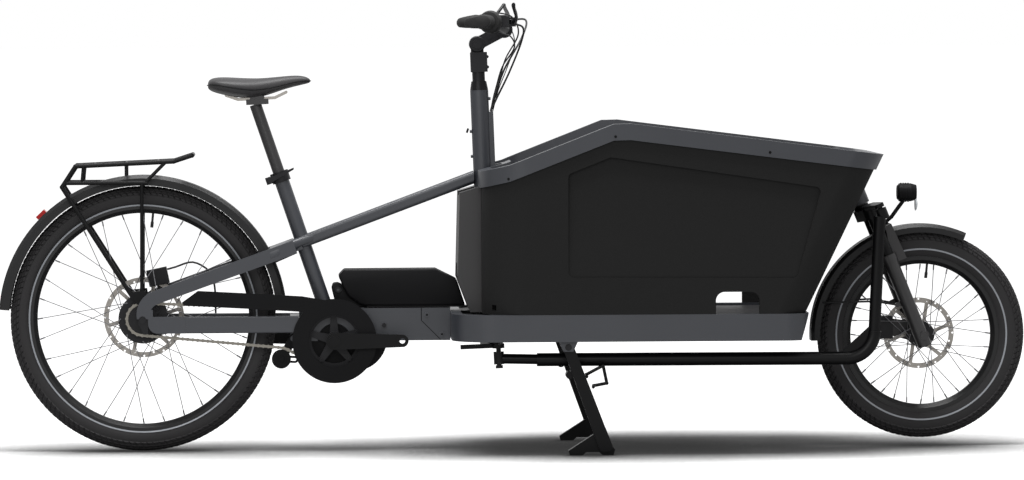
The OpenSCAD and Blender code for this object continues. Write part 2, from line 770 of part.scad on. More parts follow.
module fender_ring(r, hw, depth, a0, a1) {
    t = 2.6;
    rotate([0, -a0, 0]) rotate([90, 0, 0]) rotate_extrude(angle = a1 - a0, $fn = 144) {
        polygon([[r, -hw + 8], [r - 8, -hw], [r - depth, -hw], [r - depth, -hw + t],
            [r - 8 - t / 2, -hw + t], [r - t, -hw + 8 + t / 2],
            [r - t, hw - 8 - t / 2], [r - 8 - t / 2, hw - t],
            [r - depth, hw - t], [r - depth, hw], [r - 8, hw], [r, hw - 8]]);
    }
}
module front_fender() {
    color([0.12, 0.12, 0.125]) {
        at_front() fender_ring(front_fender_r, 35, 22, 66, 183);
        at_front() both_sides() path([[-252, 34.6, 82], [-120, 58, 86], [-70, 61.5, 77.5]], 2.5);
        in_fork() both_sides() translate([stay_eye.x, 0, stay_eye.y]) ycyl(6, 59, 64 - seam);
    }
}
module headlight() {
    color([0.1, 0.1, 0.1]) on_origin() {
        difference() {
            translate([1912, 0, 642]) rotate([0, 90, 0]) union() {
                translate([0, 0, -5]) cylinder(h = 5.5, r1 = 17, r2 = 22);
                for (z = [4:6:22]) translate([0, 0, z]) cylinder(h = 2.5, r = 24.5);
                cylinder(h = 30, r = 23);
                translate([0, 0, 30]) cylinder(h = 14, r1 = 23, r2 = 19);
            }
            translate([1953, 0, 642]) rotate([0, 90, 0]) cylinder(h = 10, r = 16);
        }
        translate([1956 - 5, 0, 642]) rotate([0, 90, 0]) cylinder(h = 4, r = 15.8);
        path([[1924, 0, 622], [1912, 0, 606], [1893, 0, 580], [1879, 0, 568]], 5);
    }
    color([0.1, 0.1, 0.1]) in_fork() translate([24, 0, arch_s + 12 + seam]) cylinder(h = 9, r = 7);
}
module front_caliper() {
    color([0.12, 0.12, 0.12]) at_front() difference() {
        translate([-112, front_disc_y - 10, -14]) cube([46, 35, 58]);
        ycyl(front_disc_r + 3, front_disc_y - 3, front_disc_y + 3);
        translate([-112 - 1, front_disc_y + 9, -15]) cube([20, 40, 20]);
    }
}

// ---------- steering ----------
module column() {
    color([0.09, 0.09, 0.09]) {
        difference() {
            in_head(24) cylinder(h = head_s1 + 22 - 24, r = shaft_r);
            in_head(head_s1 - 120) cylinder(h = 200, r = mast_bore);
        }
        in_head(head_s1 + 0.4) difference() {
            cylinder(h = 22, r1 = head_r, r2 = mast_r + 3);
            translate([0, 0, -1]) cylinder(h = 30, r = shaft_r - 1);
        }
        in_head(24) linear_extrude(10) {
            hull() {
                circle(r = 24);
                translate([rear_pin.x - head_foot.x, rear_pin.y]) circle(r = 15);
            }
            translate([-78, -arm_y + 10]) square([80, 26]);
        }
        on_origin() translate(rear_pin) rotate(rod_tilt) translate([0, 0, -20]) cylinder(h = 48, r = pin_r);
        on_origin() translate(rear_pin) rotate(rod_tilt) translate([0, 0, -26]) cylinder(h = 8, r = 9);
    }
}
mast_bore = 13 + run_gap;
module steering_rod() {
    tube_end = [upright_x - 70, -arm_y, rod_z];
    up_start = [upright_x, -arm_y, rod_z + 68];
    color([0.1, 0.1, 0.105]) on_origin() difference() {
        union() {
            translate(rear_pin) rotate(rod_tilt) translate([0, 0, -16]) cylinder(h = 32, r = 13);
            rod(rear_pin + [8, 0, -2], [989, -arm_y, rod_z + 2], 12.5);
            rod([985, -arm_y, rod_z + 1], tube_end, rod_r);
            translate([tube_end.x, -arm_y, tube_end.z + rod_bend]) rotate([90, 0, 0])
                rotate([0, 0, -90]) rotate_extrude(angle = 86, $fn = 96)
                    translate([rod_bend, 0]) circle(r = rod_r + 0.4);
            rod([upright_x + 1, -arm_y, rod_z + 66], [eye.x - 1, -arm_y, 588], 15);
            // gusset in the bend
            plate(-arm_y - 5, -arm_y + 5)
                polygon([[tube_end.x - 20, rod_z + 8], [tube_end.x + 20, rod_z], [upright_x,
                    rod_z + 60], [upright_x, rod_z + 90]]);
            in_fork_at_eye() translate([0, 0, -30]) cylinder(h = 27, r = 14);
        }
        translate(rear_pin) rotate(rod_tilt) translate([0, 0, -40]) cylinder(h = 80, r = pin_r + run_gap);
        in_fork_at_eye() translate([0, 0, -15]) cylinder(h = 60, r = pin_r + 2.2);
    }
}
// The eye at the front end of the rod, under the fork's steering arm
module in_fork_at_eye() {
    translate([wheelbase, 0, front_z]) rotate([0, -fork_lean, 0]) translate([10, -arm_y,
        crown_s + crown_h - 1 + 0]) children();
}
mast_top = 1002;
module mast() {
    color([0.3, 0.3, 0.31]) {
        in_head(head_s1 - 110) cylinder(h = 160, r = 13);
        in_head(head_s1 + 22.5) cylinder(h = mast_top - head_foot.z - head_s1 - 22.5, r = mast_r);
        in_head(712) difference() {
            translate([-19, -20, 0]) cube([42, 40, 50]);
            cylinder(h = 200, r = mast_r - 1, center = true);
        }
        // head of the stem's hinge and its pin
        on_origin() difference() {
            translate([pivot.x - 16, -10, mast_top - 8]) cube([32, 20, pivot.y - mast_top + 8]);
            translate([pivot.x - 30, -20, pivot.y + 30]) cube([60, 40, 40]);
        }
        on_origin() translate([pivot.x, 0, pivot.y]) ycyl(16, -10, 10);
        on_origin() translate([pivot.x, 0, pivot.y]) ycyl(5, -20, 20);
        for (z = [724, 750]) in_head(z) translate([23, 0, 0]) rotate([90, 0, 0]) cylinder(h = 44, r = 4,
            center = true);
    }
}
pivot = [845, 1022];
bar_pos = [913, 1058];
module handlebar() {
    color([0.1, 0.1, 0.1]) on_origin() {
        difference() {
            plate(-17, 17) slot2d(pivot, bar_pos, 32);
            translate([pivot.x, 0, pivot.y]) ycyl(26, -10.4, 10.4);
            translate([pivot.x, 0, pivot.y]) ycyl(5 + run_gap, -30, 30);
        }
        translate([bar_pos.x, 0, bar_pos.y]) ycyl(21, -22, 22);
        both_sides() path(bar_route, 11);
        // brake bodies and the display
        both_sides() translate(bar_route[2] + [-2, 20, 1]) ycyl(17, -9, 9);
        both_sides() translate(bar_route[2] + [0, -14, -12]) {
            cube([39, 44, 28]);
            // lugs and pin of the brake lever
            for (z = [2, 20]) translate([38, 12, z]) cube([18, 16, 5]);
            translate([lever_pin.x, lever_pin.y, 3]) cylinder(h = 21, r = 3);
        }
    }
}
lever_pin = [48, 20];
bar_route = [[bar_pos.x, -1, bar_pos.y], [bar_pos.x, 60, bar_pos.y + 2], [bar_pos.x - 34, bar_half - 155,
    bar_pos.y + 18],
    [bar_pos.x - 62, bar_half, bar_pos.y + 22]];
module on_grip() {
    a = bar_route[2];
    b = bar_route[3];
    on_origin() translate(b) orient(a - b) children();
}
module grip_shape(twist) {
    difference() {
        union() {
            translate([0, 0, -4]) cylinder(h = 104, r = 17);
            if (twist) translate([0, 0, 88]) cylinder(h = 30, r1 = 27, r2 = 30);
            // palm rest behind the grip
            translate([0, 0, 2]) linear_extrude(62) hull() { circle(r = 17); translate([4,
                -52]) circle(r = 7); }
        }
        translate([0, 0, -seam]) cylinder(h = 200, r = 11 + run_gap);
    }
}
module grip_r() { color([0.12, 0.12, 0.12]) mirror([0, 1, 0]) on_grip() grip_shape(true); }
module grip_l() { color([0.12, 0.12, 0.12]) on_grip() grip_shape(false); }
module lever() {
    pin = bar_route[2] + [lever_pin.x, lever_pin.y - 14, -12];
    color([0.1, 0.1, 0.1]) on_origin() difference() {
        union() {
            translate(pin + [0, 0, 7.4]) cylinder(h = 12.2, r = 8);
            path([pin + [2, 4, 13.5], pin + [10, 54, 26], pin + [-6, 116, 36]], 4.5);
        }
        translate(pin - [0, 0, 10]) cylinder(h = 60, r = 3 + run_gap);
    }
}
module lever_l() { lever(); }
module lever_r() { mirror([0, 1, 0]) lever(); }

// ---------- saddle and post ----------
module seat_collar() {
    color([0.3, 0.3, 0.31]) in_seat() difference() {
        union() {
            translate([0, 0, seat_len - 16]) cylinder(h = 26, r = seat_tube_r + 5);
            translate([-38, -12, seat_len - 12]) cube([26, 24, 18]);
        }
        translate([0, 0, seat_len - 40]) cylinder(h = 40 + seam, r = seat_tube_r + seam);
        cylinder(h = seat_len + 100, r = post_r + 1);
        translate([-60, -1, seat_len - 30]) cube([60, 2, 60]);
        translate([-30, 0, seat_len - 3]) ycyl(3 + run_gap, -40, 40);
    }
}
module seat_lever() {
    color([0.12, 0.12, 0.12]) in_seat() {
        translate([-30, 0, seat_len - 3]) ycyl(3, -26, 16);
        translate([-30, 0, seat_len - 3]) ycyl(8, -25, -12.3);
        translate([-30, 0, seat_len - 3]) ycyl(8, 12.3, 20);
        plate(-30, -24.4) polygon([[-34, seat_len - 8], [-26, seat_len - 9], [38, seat_len + 4], [40,
            seat_len + 9], [-32, seat_len + 4]]);
    }
}
post_out = 190;
post_head = seat_foot + (seat_len + post_out) * seat_dir;
// Point of the post's end round which the saddle and its rails are drawn
saddle_origin = [285.23, 872.39];
module on_post() {
    translate([post_head.x - saddle_origin.x - mid_x, 0, post_head.y - saddle_origin.y]) children();
}
rail_y = 22;
rail_r = 3.5;
rail_pts = [[212, 895.5], [242, 885], [334, 889], [363, 903]];
module seatpost() {
    color([0.28, 0.28, 0.29]) {
        in_seat() translate([0, 0, seat_len - 130]) cylinder(h = 130 + post_out, r = post_r);
        // cradle under the rails, clamp above them
        on_post() difference() {
            translate([290, 0, 886.5]) rotate([0, -2.5, 0]) {
                translate([-28, -30, -14]) cube([56, 60, 14]);
                translate([-18, -30, -1]) cube([36, 60, 9]);
            }
            both_sides() plate(rail_y - rail_r - seam, rail_y + rail_r + seam)
                slot2d(rail_pts[1] - [40, 1.74], rail_pts[2] + [40, 1.74], 2 * (rail_r + seam));
        }
    }
}
module rails() {
    color([0.3, 0.3, 0.3]) on_post() both_sides() plate(rail_y - rail_r, rail_y + rail_r)
        for (i = [0:2]) slot2d(rail_pts[i], rail_pts[i + 1], 2 * rail_r);
}
module saddle() {
    color([0.13, 0.13, 0.13]) on_post() hull() {
        for (s = [-1, 1]) {
            translate([190, s * 58, 922]) sphere(r = 20, $fn = 24);
            translate([250, s * 52, 912]) sphere(r = 16, $fn = 24);
        }
        translate([400, 0, 930]) sphere(r = 17, $fn = 24);
    }
}

// ---------- rear rack and mudguard ----------
module rear_fender() {
    color([0.15, 0.15, 0.155]) {
        at_rear() fender_ring(rear_fender_r, 36, 26, 9, 180 - guard_end_angle);
        // tongue to the yoke
        difference() {
            at_rear() rotate([0, -23.6, 0]) translate([rear_fender_r - 1, -10, -7]) cube([60, 20, 14]);
            in_yoke() translate([-60, -30, -yoke / 2 - seam]) cube([160, 60, 100]);
        }
        // post to the middle bar of the rack
        on_origin() rod([-40, 0, rear_r + sqrt(pow(rear_fender_r, 2) - 1600) - 1],
            [-40, 0, 720 + 126 * 11 / 246 - rack_r + 1 - seam], 5);
    }
}
module reflector() {
    a = 134;
    color([0.7, 0.05, 0.04]) at_rear() rotate([0, -a, 0]) translate([rear_fender_r + seam, -22,
        -14]) cube([9, 44, 28]);
}
module rack() {
    slope = 11 / 246;
    color([0.2, 0.2, 0.21]) on_origin() {
        both_sides() {
            path([[-26, rack_y, 392], [-200, rack_y, 668], [-166, rack_y, 720], [80, rack_y, 731], [126,
                rack_y, 746]], rack_r);
            rod([-194, rack_y, 678], [14, rack_y, 678], rack_r - 0.5);
            rod([-2, rack_y, 392], [0, rack_y, 678], rack_r - 1);
            rod([8, rack_y, 678], [60, rack_y, 730], rack_r - 1);
            plate(stay_y - 7, stay_y - seam) polygon([[-34, 404], [8, 408], [14, 372], [-4, 366], [-30,
                386]]);
            rod([-150, rack_y, 678], [-146, rack_y, 720.5], rack_r - 1.5);
        }
        for (x = [-120, -40, 40]) rod([x, -rack_y, 720 + (x + 166) * slope], [x, rack_y,
            720 + (x + 166) * slope], rack_r - 1);
        rod([126, -rack_y - 3, 746], [126, rack_y + 3, 746], rack_r + 0.5);
    }
}
module rear_caliper() {
    color([0.15, 0.15, 0.155]) on_origin() difference() {
        translate([15, 40, rear_r + 76.5]) rotate([0, -12, 0]) {
            cube([52, 30, 42]);
            translate([18, 18, -16]) cube([30, 12, 17]);
        }
        translate([0, 0, rear_r]) ycyl(rear_disc_r + 3, stay_y - 14 - 3.5, stay_y - 14 + 3.5);
        translate([-60, stay_y - seam, 300]) cube([200, 40, 300]);
    }
}

// ---------- drive ----------
ring_path_r = ring_teeth * pitch / (2 * PI);
sprocket_path_r = sprocket_teeth * pitch / (2 * PI);
roller_path_r = 28.5;
cog_at = [0, rear_r];
ring_at = [crank_x, crank_z];
roller_x = 347;
// Direction of the straight run from one wheel to the next; s is 1 where the chain runs clockwise
function run_dir(a, ra, sa, b, rb, sb) =
    atan2(b.y - a.y, b.x - a.x) - asin((ra * sa - rb * sb) / norm(b - a));
function side(u) = [-sin(u), cos(u)];
function wrap(a) = a - 360 * floor(a / 360);
// Straight runs: sprocket to ring, ring to roller, roller to sprocket
function runs(z) = let (r = [roller_x, z]) [
    run_dir(cog_at, sprocket_path_r, 1, ring_at, ring_path_r, 1),
    run_dir(ring_at, ring_path_r, 1, r, roller_path_r, -1),
    run_dir(r, roller_path_r, -1, cog_at, sprocket_path_r, 1)];
function lengths(z) = let (u = runs(z), r = [roller_x, z]) [
    norm(ring_at + ring_path_r * side(u[0]) - cog_at - sprocket_path_r * side(u[0])),
    wrap(u[0] - u[1]) * PI / 180 * ring_path_r,
    norm(r - roller_path_r * side(u[1]) - ring_at - ring_path_r * side(u[1])),
    wrap(u[2] - u[1]) * PI / 180 * roller_path_r,
    norm(cog_at + sprocket_path_r * side(u[2]) - r + roller_path_r * side(u[2])),
    wrap(u[2] - u[0]) * PI / 180 * sprocket_path_r];
function sum(v, i = 0) = i < len(v) ? v[i] + sum(v, i + 1) : 0;
// The tensioner's height that takes up the slack of a whole number of links
function settle(lo, hi, target, n) = let (m = (lo + hi) / 2)
    n == 0 ? m : sum(lengths(m)) > target ? settle(lo, m, target, n - 1) : settle(m, hi, target, n - 1);
link_count = 2 * round(sum(lengths(233)) / (2 * pitch));
roller_z = settle(190, 275, link_count * pitch, 30);
roller_at = [roller_x, roller_z];
dirs = runs(roller_z);
lens = lengths(roller_z);
ends = [for (i = [0:5]) sum([for (k = [0:i]) lens[k]])];
function chain_at(s) =
    s < ends[0] ? cog_at + sprocket_path_r * side(dirs[0]) + s * [cos(dirs[0]), sin(dirs[0])] :
    s < ends[1] ? ring_at + ring_path_r * side(dirs[0] - (s - ends[0]) / ring_path_r * 180 / PI) :
    s < ends[2] ? ring_at + ring_path_r * side(dirs[1]) + (s - ends[1]) * [cos(dirs[1]), sin(dirs[1])] :
    s < ends[3] ? roller_at - roller_path_r * side(dirs[1] + (s - ends[2]) / roller_path_r * 180 / PI) :
    s < ends[4] ? roller_at - roller_path_r * side(dirs[2]) + (s - ends[3]) * [cos(dirs[2]), sin(dirs[2])] :
    cog_at + sprocket_path_r * side(dirs[2] - (s - ends[4]) / sprocket_path_r * 180 / PI);

module toothed(n, r, phase) {
    difference() {
        circle(r = r + 2.8, $fn = 96);
        for (i = [0:n - 1]) rotate(phase + i * 360 / n) translate([r, 0]) {
            circle(r = 4.15, $fn = 32);
            polygon([[0, -4.15], [5, -5.1], [5, 5.1], [0, 4.15]]);
        }
    }
}
module sprocket() {
    color([0.4, 0.4, 0.4]) at_rear() difference() {
        union() {
            plate(-chain_y - 1.2, -chain_y + 1.2) toothed(sprocket_teeth, sprocket_path_r, dirs[0] + 90);
            ycyl(27, -chain_y - 4, -rear_flange_y - 7 - 0.6);
            ycyl(12, -stay_y + 4, -chain_y);
        }
        ycyl(axle_r + run_gap, -100, 0);
    }
}
ring_lead = (ceil(ends[0] / pitch) * pitch - ends[0]) / ring_path_r * 180 / PI;
module chainring() {
    color([0.1, 0.1, 0.1]) on_origin() translate([crank_x, 0, crank_z]) difference() {
        union() {
            plate(-chain_y - 1.2, -chain_y + 1.2) difference() {
                toothed(ring_teeth, ring_path_r, dirs[0] + 90 - ring_lead);
                circle(r = 58);
            }
            plate(-chain_y - 5, -chain_y - 1) for (i = [0:4]) rotate(i * 72 + 20)
                polygon([[0, -13], [0, 13], [64, 7], [64, -7]]);
            for (i = [0:4]) rotate([0, -i * 72 - 20, 0]) translate([61, 0, 0]) ycyl(5, -chain_y - 7,
                -chain_y - 1);
            ycyl(22, -chain_y - 12, -chain_y - 1);
        }
        ycyl(spindle_r + run_gap, -100, 0);
    }
}
module chain() {
    color([0.7, 0.7, 0.68]) on_origin() for (i = [0:2:link_count - 2]) {
        p = chain_at(i * pitch);
        q = chain_at((i + 1) * pitch);
        r = chain_at((i + 2 == link_count ? 0 : i + 2) * pitch);
        link(p, q, true);
        link(q, r, false);
    }
}
module link(p, q, inner) {
    a = atan2(q.y - p.y, q.x - p.x);
    d = norm(q - p);
    translate([p.x, -chain_y, p.y]) rotate([0, -a, 0]) {
        if (inner) difference() {
            union() {
                for (y = [-2.6, 1.7]) plate(y, y + 0.9) link_plate(d);
                for (x = [0, d]) translate([x, 0, 0]) ycyl(3.85, -1.8, 1.8);
            }
            for (x = [0, d]) translate([x, 0, 0]) ycyl(1.9, -3, 3);
        } else {
            for (y = [-3.7, 2.8]) plate(y, y + 0.9) link_plate(d);
            for (x = [0, d]) translate([x, 0, 0]) ycyl(1.8, -4.2, 4.2);
        }
    }
}
module link_plate(d) {
    circle(r = 4.2, $fn = 32);
    translate([d, 0]) circle(r = 4.2, $fn = 32);
    translate([0, -3.1]) square([d, 6.2]);
}
module chain_guard() {
    color([0.12, 0.12, 0.125]) on_origin() {
        plate(-guard_y - 3.5, -guard_y) difference() {
            union() {
                translate(ring_at) circle(r = guard_r, $fn = 96);
                polygon([[99, 378], [139, 407], [250, 401], [400, 392], [470, 380], [430, 345], [395,
                    353], [269, 361], [104, 370]]);
            }
            translate(ring_at) circle(r = guard_in_r, $fn = 96);
        }
        // three legs that hold the guard on the bridge
        for (p = [[88, 20], [76, 52], [-66, 60]])
            translate([crank_x + p.x, 0, crank_z + p.y]) ycyl(5, -guard_y - 1, -bridge_hw - seam);
    }
}
module crank_arm() {
    difference() {
        plate(-crank_y0 - crank_t, -crank_y0) difference() {
            hull() { circle(r = 21); translate([crank_len, 0]) circle(r = 15.5); }
            translate([crank_len, 0]) circle(r = 7.1);
        }
    }
}
module cranks() {
    color([0.12, 0.12, 0.12]) on_origin() translate([crank_x, 0, crank_z]) {
        crank_arm();
        mirror([0, 1, 0]) rotate([0, 180, 0]) crank_arm();
        // the spindle is a piece of its own, and its ends meet the inner faces of the arms
        ycyl(spindle_r, -crank_y0 + seam, crank_y0 - seam);
        ycyl(19, -crank_y0 + seam, -chain_y - 12 - seam);
        ycyl(19, stay_y + 10.6, crank_y0 - seam);
    }
}
tens_pivot = [378, 284];
tens_pin_r = 5;
module tensioner() {
    color([0.1, 0.1, 0.1]) on_origin() {
        plate(-chain_y + 7, -chain_y + 12) difference() {
            union() {
                slot2d(tens_pivot, roller_at, 22);
                slot2d(roller_at, roller_at + [34, -2], 18);
            }
            slot2d(roller_at + [22, -1.4], roller_at + [34, -2], 7);
            translate(tens_pivot) circle(r = tens_pin_r + run_gap);
        }
        translate([roller_at.x, 0, roller_at.y]) ycyl(4, -chain_y - 9, -chain_y + 8);
        translate([roller_at.x, 0, roller_at.y]) ycyl(7, -chain_y - 10, -chain_y - 6.6);
    }
}
module tension_roller() {
    color([0.13, 0.13, 0.13]) on_origin() translate([roller_at.x, 0, roller_at.y]) difference() {
        ycyl(roller_path_r - 4.6, -chain_y - 6, -chain_y + 6);
        ycyl(4 + run_gap, -chain_y - 10, -chain_y + 10);
    }
}

// ---------- stand ----------
module stand_foot() {
    x = foot.x - 98;
    difference() {
        polygon([[x, 12], [x + 3, 0], [x + 112, 0], [x + 116, 14], [x + 80, 58], [x + 62, 52]]);
        // hollow between the two treads
        polygon([[x + 34, -1], [x + 44, 8], [x + 76, 8], [x + 86, -1]]);
    }
}
module stand() {
    color([0.13, 0.13, 0.13]) on_origin() {
        both_sides() plate(stand_y - 5, stand_y + 5) difference() {
            hull() {
                translate([stand_x, stand_z]) circle(r = 13.5);
                translate(foot + [-8, 16]) circle(r = 16);
                translate(foot + [2, 12]) circle(r = 10);
            }
            translate([stand_x, stand_z]) circle(r = stand_pin_r - 1);
        }
        translate([stand_x, 0, stand_z]) ycyl(stand_pin_r, -stand_y - 14, stand_y + 14);
        both_sides() translate([stand_x + 4, 0, 200]) ycyl(10, stand_y - 40, stand_y - 4);
        both_sides() plate(stand_y - 20, stand_y - 4) stand_foot();
        // loop for the rider's foot, on the right leg
        mirror([0, 1, 0]) path([[stand_x + 46, stand_y - 4, 196], [stand_x + 46, stand_y - 26, 200],
            [stand_x + 88, stand_y - 26, 222], [stand_x + 97, stand_y - 26, 178],
            [stand_x + 64, stand_y - 26, 172], [stand_x + 62, stand_y - 4, 170]], 4, 0.5);
    }
}
// ---------- cables ----------
function spline(p, n) = concat([for (i = [0:len(p) - 2]) for (j = [0:n - 1]) let (t = j / n,
    a = p[max(i - 1, 0)], b = p[i], c = p[i + 1], d = p[min(i + 2, len(p) - 1)])
    0.5 * (2 * b + (c - a) * t + (2 * a - 5 * b + 4 * c - d) * t * t + (3 * b - a - 3 * c + d)
        * t * t * t)],
    [p[len(p) - 1]]);
// A swept tube of 8 sides; ref is any direction that the route never follows
module cord(pts, r, n, ref) {
    sides = 8;
    c = spline(pts, n);
    last = len(c) - 1;
    rings = [for (i = [0:last]) let (t = c[min(i + 1, last)] - c[max(i - 1, 0)], u = cross(t,
        ref) / norm(cross(t, ref)),
        v = cross(t, u) / norm(cross(t,
            u))) [for (k = [0:sides - 1]) c[i] + r * (cos(k * 360 / sides) * u + sin(k * 360 / sides)
            * v)]];
    skin = [for (i = [0:last - 1]) for (k = [0:sides - 1]) let (m = (k + 1) % sides)
        [i * sides + k, i * sides + m, (i + 1) * sides + m, (i + 1) * sides + k]];
    polyhedron(points = [for (g = rings) for (q = g) q],
        faces = concat([[for (k = [sides - 1:-1:0]) k]], skin,
            [[for (k = [0:sides - 1]) last * sides + k]]), convexity = 6);
}
hose_r_pts = [[906, -174.1, 1076], [920, -150, 1074], [956, -105, 1064], [954, -50, 1026], [925, -14, 950],
    [896, -5, 890], [878, -4.5, 852]];
hose_l_pts = [[906, 173.7, 1078], [928, 150, 1080], [972, 105, 1082], [960, 50, 1038], [915, 14, 960],
    [893, 5, 900], [878, 4.5, 852]];
module cables() {
    color([0.1, 0.1, 0.1]) on_origin() {
        cord(hose_r_pts, 2.5, 4, [0.2, 0.1, 1]);
        cord(hose_l_pts, 2.5, 4, [0.2, 0.1, 1]);
    }
}
module rear_hose() {
    color([0.1, 0.1, 0.1]) on_origin()
        cord([[59.6, 54, 455.5], [80, 56, 461], [124, 58, 473], [165, 58, 450], [179, 62, 410], [181,
            stay_y + stay_w / 2, chain_stay_z + chain_stay_d + 0.9]], 2.5, 4, [0, 1, 0.1]);
}

rear_tyre();
rear_rim();
rear_spokes();
rear_hub();
rear_disc();
front_tyre();
front_rim();
front_spokes();
front_hub();
front_disc();
seat_stays();
chain_stays();
rear_axle();
bridge();
motor();
battery();
seat_tube();
top_tube();
head_tube();
deck_frame();
box_floor();
box_side_r();
box_side_l();
box_front();
box_rear();
box_rim();
rear_cover();
front_head();
rear_fender();
reflector();
rack();
rear_caliper();
seat_collar();
seat_lever();
seatpost();
saddle();
rails();
chain_guard();
cranks();
chainring();
sprocket();
chain();
tensioner();
tension_roller();
fork_crown();
fork_lowers();
front_fender();
headlight();
front_caliper();
column();
steering_rod();
mast();
handlebar();
grip_r();
grip_l();
lever_r();
lever_l();
cables();
rear_hose();
stand();
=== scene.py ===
# %% [markdown]
# # A front-loader cargo bicycle, dressed in Blender
# The metal and plastic of this bicycle come from a CAD model as fixed pieces.
# This notebook gives each of them a finish and adds what CAD leaves plain:
# tyre tread, the padded saddle, rubber grips, the lamp, screws and cables.
# Each step is told first and built after that.

# %% Load the frame
import math
import bmesh
import bpy
from mathutils import Matrix, Vector


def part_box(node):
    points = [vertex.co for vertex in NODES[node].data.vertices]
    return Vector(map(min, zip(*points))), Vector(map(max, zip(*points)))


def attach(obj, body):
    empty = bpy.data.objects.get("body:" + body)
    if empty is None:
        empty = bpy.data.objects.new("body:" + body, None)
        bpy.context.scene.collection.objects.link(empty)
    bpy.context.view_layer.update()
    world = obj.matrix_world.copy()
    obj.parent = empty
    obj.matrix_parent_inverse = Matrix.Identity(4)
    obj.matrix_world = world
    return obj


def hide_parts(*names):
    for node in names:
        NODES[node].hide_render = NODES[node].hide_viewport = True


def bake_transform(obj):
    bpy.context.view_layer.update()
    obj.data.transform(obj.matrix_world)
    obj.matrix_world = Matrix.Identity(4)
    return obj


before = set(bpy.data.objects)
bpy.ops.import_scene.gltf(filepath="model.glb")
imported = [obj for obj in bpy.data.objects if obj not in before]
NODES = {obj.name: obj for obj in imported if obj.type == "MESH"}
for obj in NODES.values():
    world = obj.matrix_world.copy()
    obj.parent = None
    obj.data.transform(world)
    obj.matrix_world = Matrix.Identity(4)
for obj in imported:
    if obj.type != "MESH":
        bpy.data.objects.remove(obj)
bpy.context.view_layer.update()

# %% [markdown]
# ## The measures everything shares
# The model's x is 0 at the middle of the bicycle, but a bicycle is drawn from its rear axle.
# One function turns millimetres from the rear axle and the ground into the model's metres.

# %% Places on the bicycle
MID_X = 933.941


def at(x, y, z):
    return Vector(((x - MID_X) / 1000, y / 1000, z / 1000))


def mm(value):
    return value / 1000


# %% [markdown]
# ## The camera
# A product picture is taken from far away with a long lens, so that near and far sides
# lie nearly on each other. The camera stands 13.8 m off, a little above the saddle,
# and looks slightly down and to the right.

# %% Camera
CAMERA_AT = (-0.533941, -13.8158, 1.0874)
PAN, PITCH, ROLL = math.radians(2.201), math.radians(2.322), math.radians(-0.24)
FOCAL_PIXELS = 5475.8

ahead = Vector((math.sin(PAN) * math.cos(PITCH), math.cos(PAN) * math.cos(PITCH), -math.sin(PITCH)))
right = ahead.cross(Vector((0, 0, 1))).normalized()
up = right.cross(ahead)
right, up = (right * math.cos(ROLL) + up * math.sin(ROLL), up * math.cos(ROLL) - right * math.sin(ROLL))
lens = bpy.data.cameras.new("camera")
lens.sensor_width = 36
lens.lens = FOCAL_PIXELS * lens.sensor_width / 1024
lens.clip_end = 200
camera = bpy.data.objects.new("camera", lens)
bpy.context.scene.collection.objects.link(camera)
camera.matrix_world = Matrix.Translation(CAMERA_AT) @ Matrix((right, up, -ahead)).transposed().to_4x4()
bpy.context.scene.camera = camera
print("lens", round(lens.lens, 1), "mm")

# %% [markdown]
# ## Small helpers
# An operator works on everything that is selected, so each step starts from nothing selected.
# Colours are written as on the web, in sRGB, and one function turns them to linear light.
# One function adds a shader node with its settings and its links.

# %% Helpers for selecting, colours and shader nodes
def deselect():
    bpy.ops.object.select_all(action="DESELECT")


def linear(code):
    def channel(c):
        return c / 12.92 if c <= 0.04045 else ((c + 0.055) / 1.055) ** 2.4
    return [channel(int(code[i:i + 2], 16) / 255) for i in (1, 3, 5)] + [1]


def add_node(tree, kind, settings=None, links=None):
    node = tree.nodes.new(kind)
    for key, value in (settings or {}).items():
        if isinstance(key, int) or key in node.inputs:
            node.inputs[key].default_value = value
        else:
            setattr(node, key, value)
    for key, socket in (links or {}).items():
        tree.links.new(socket, node.inputs[key])
    return node


# %% [markdown]
# ## How a finish is put together
# Almost every finish here is one shader with a base colour, a roughness and two patterns:
# a slow one that makes the tone drift a little, as paint and plastic do over a large piece,
# and a fine one that gives the surface its grain. Both are sized in millimetres.

# %% One recipe for plain finishes
ROUGHNESS_DRIFT = 0.05


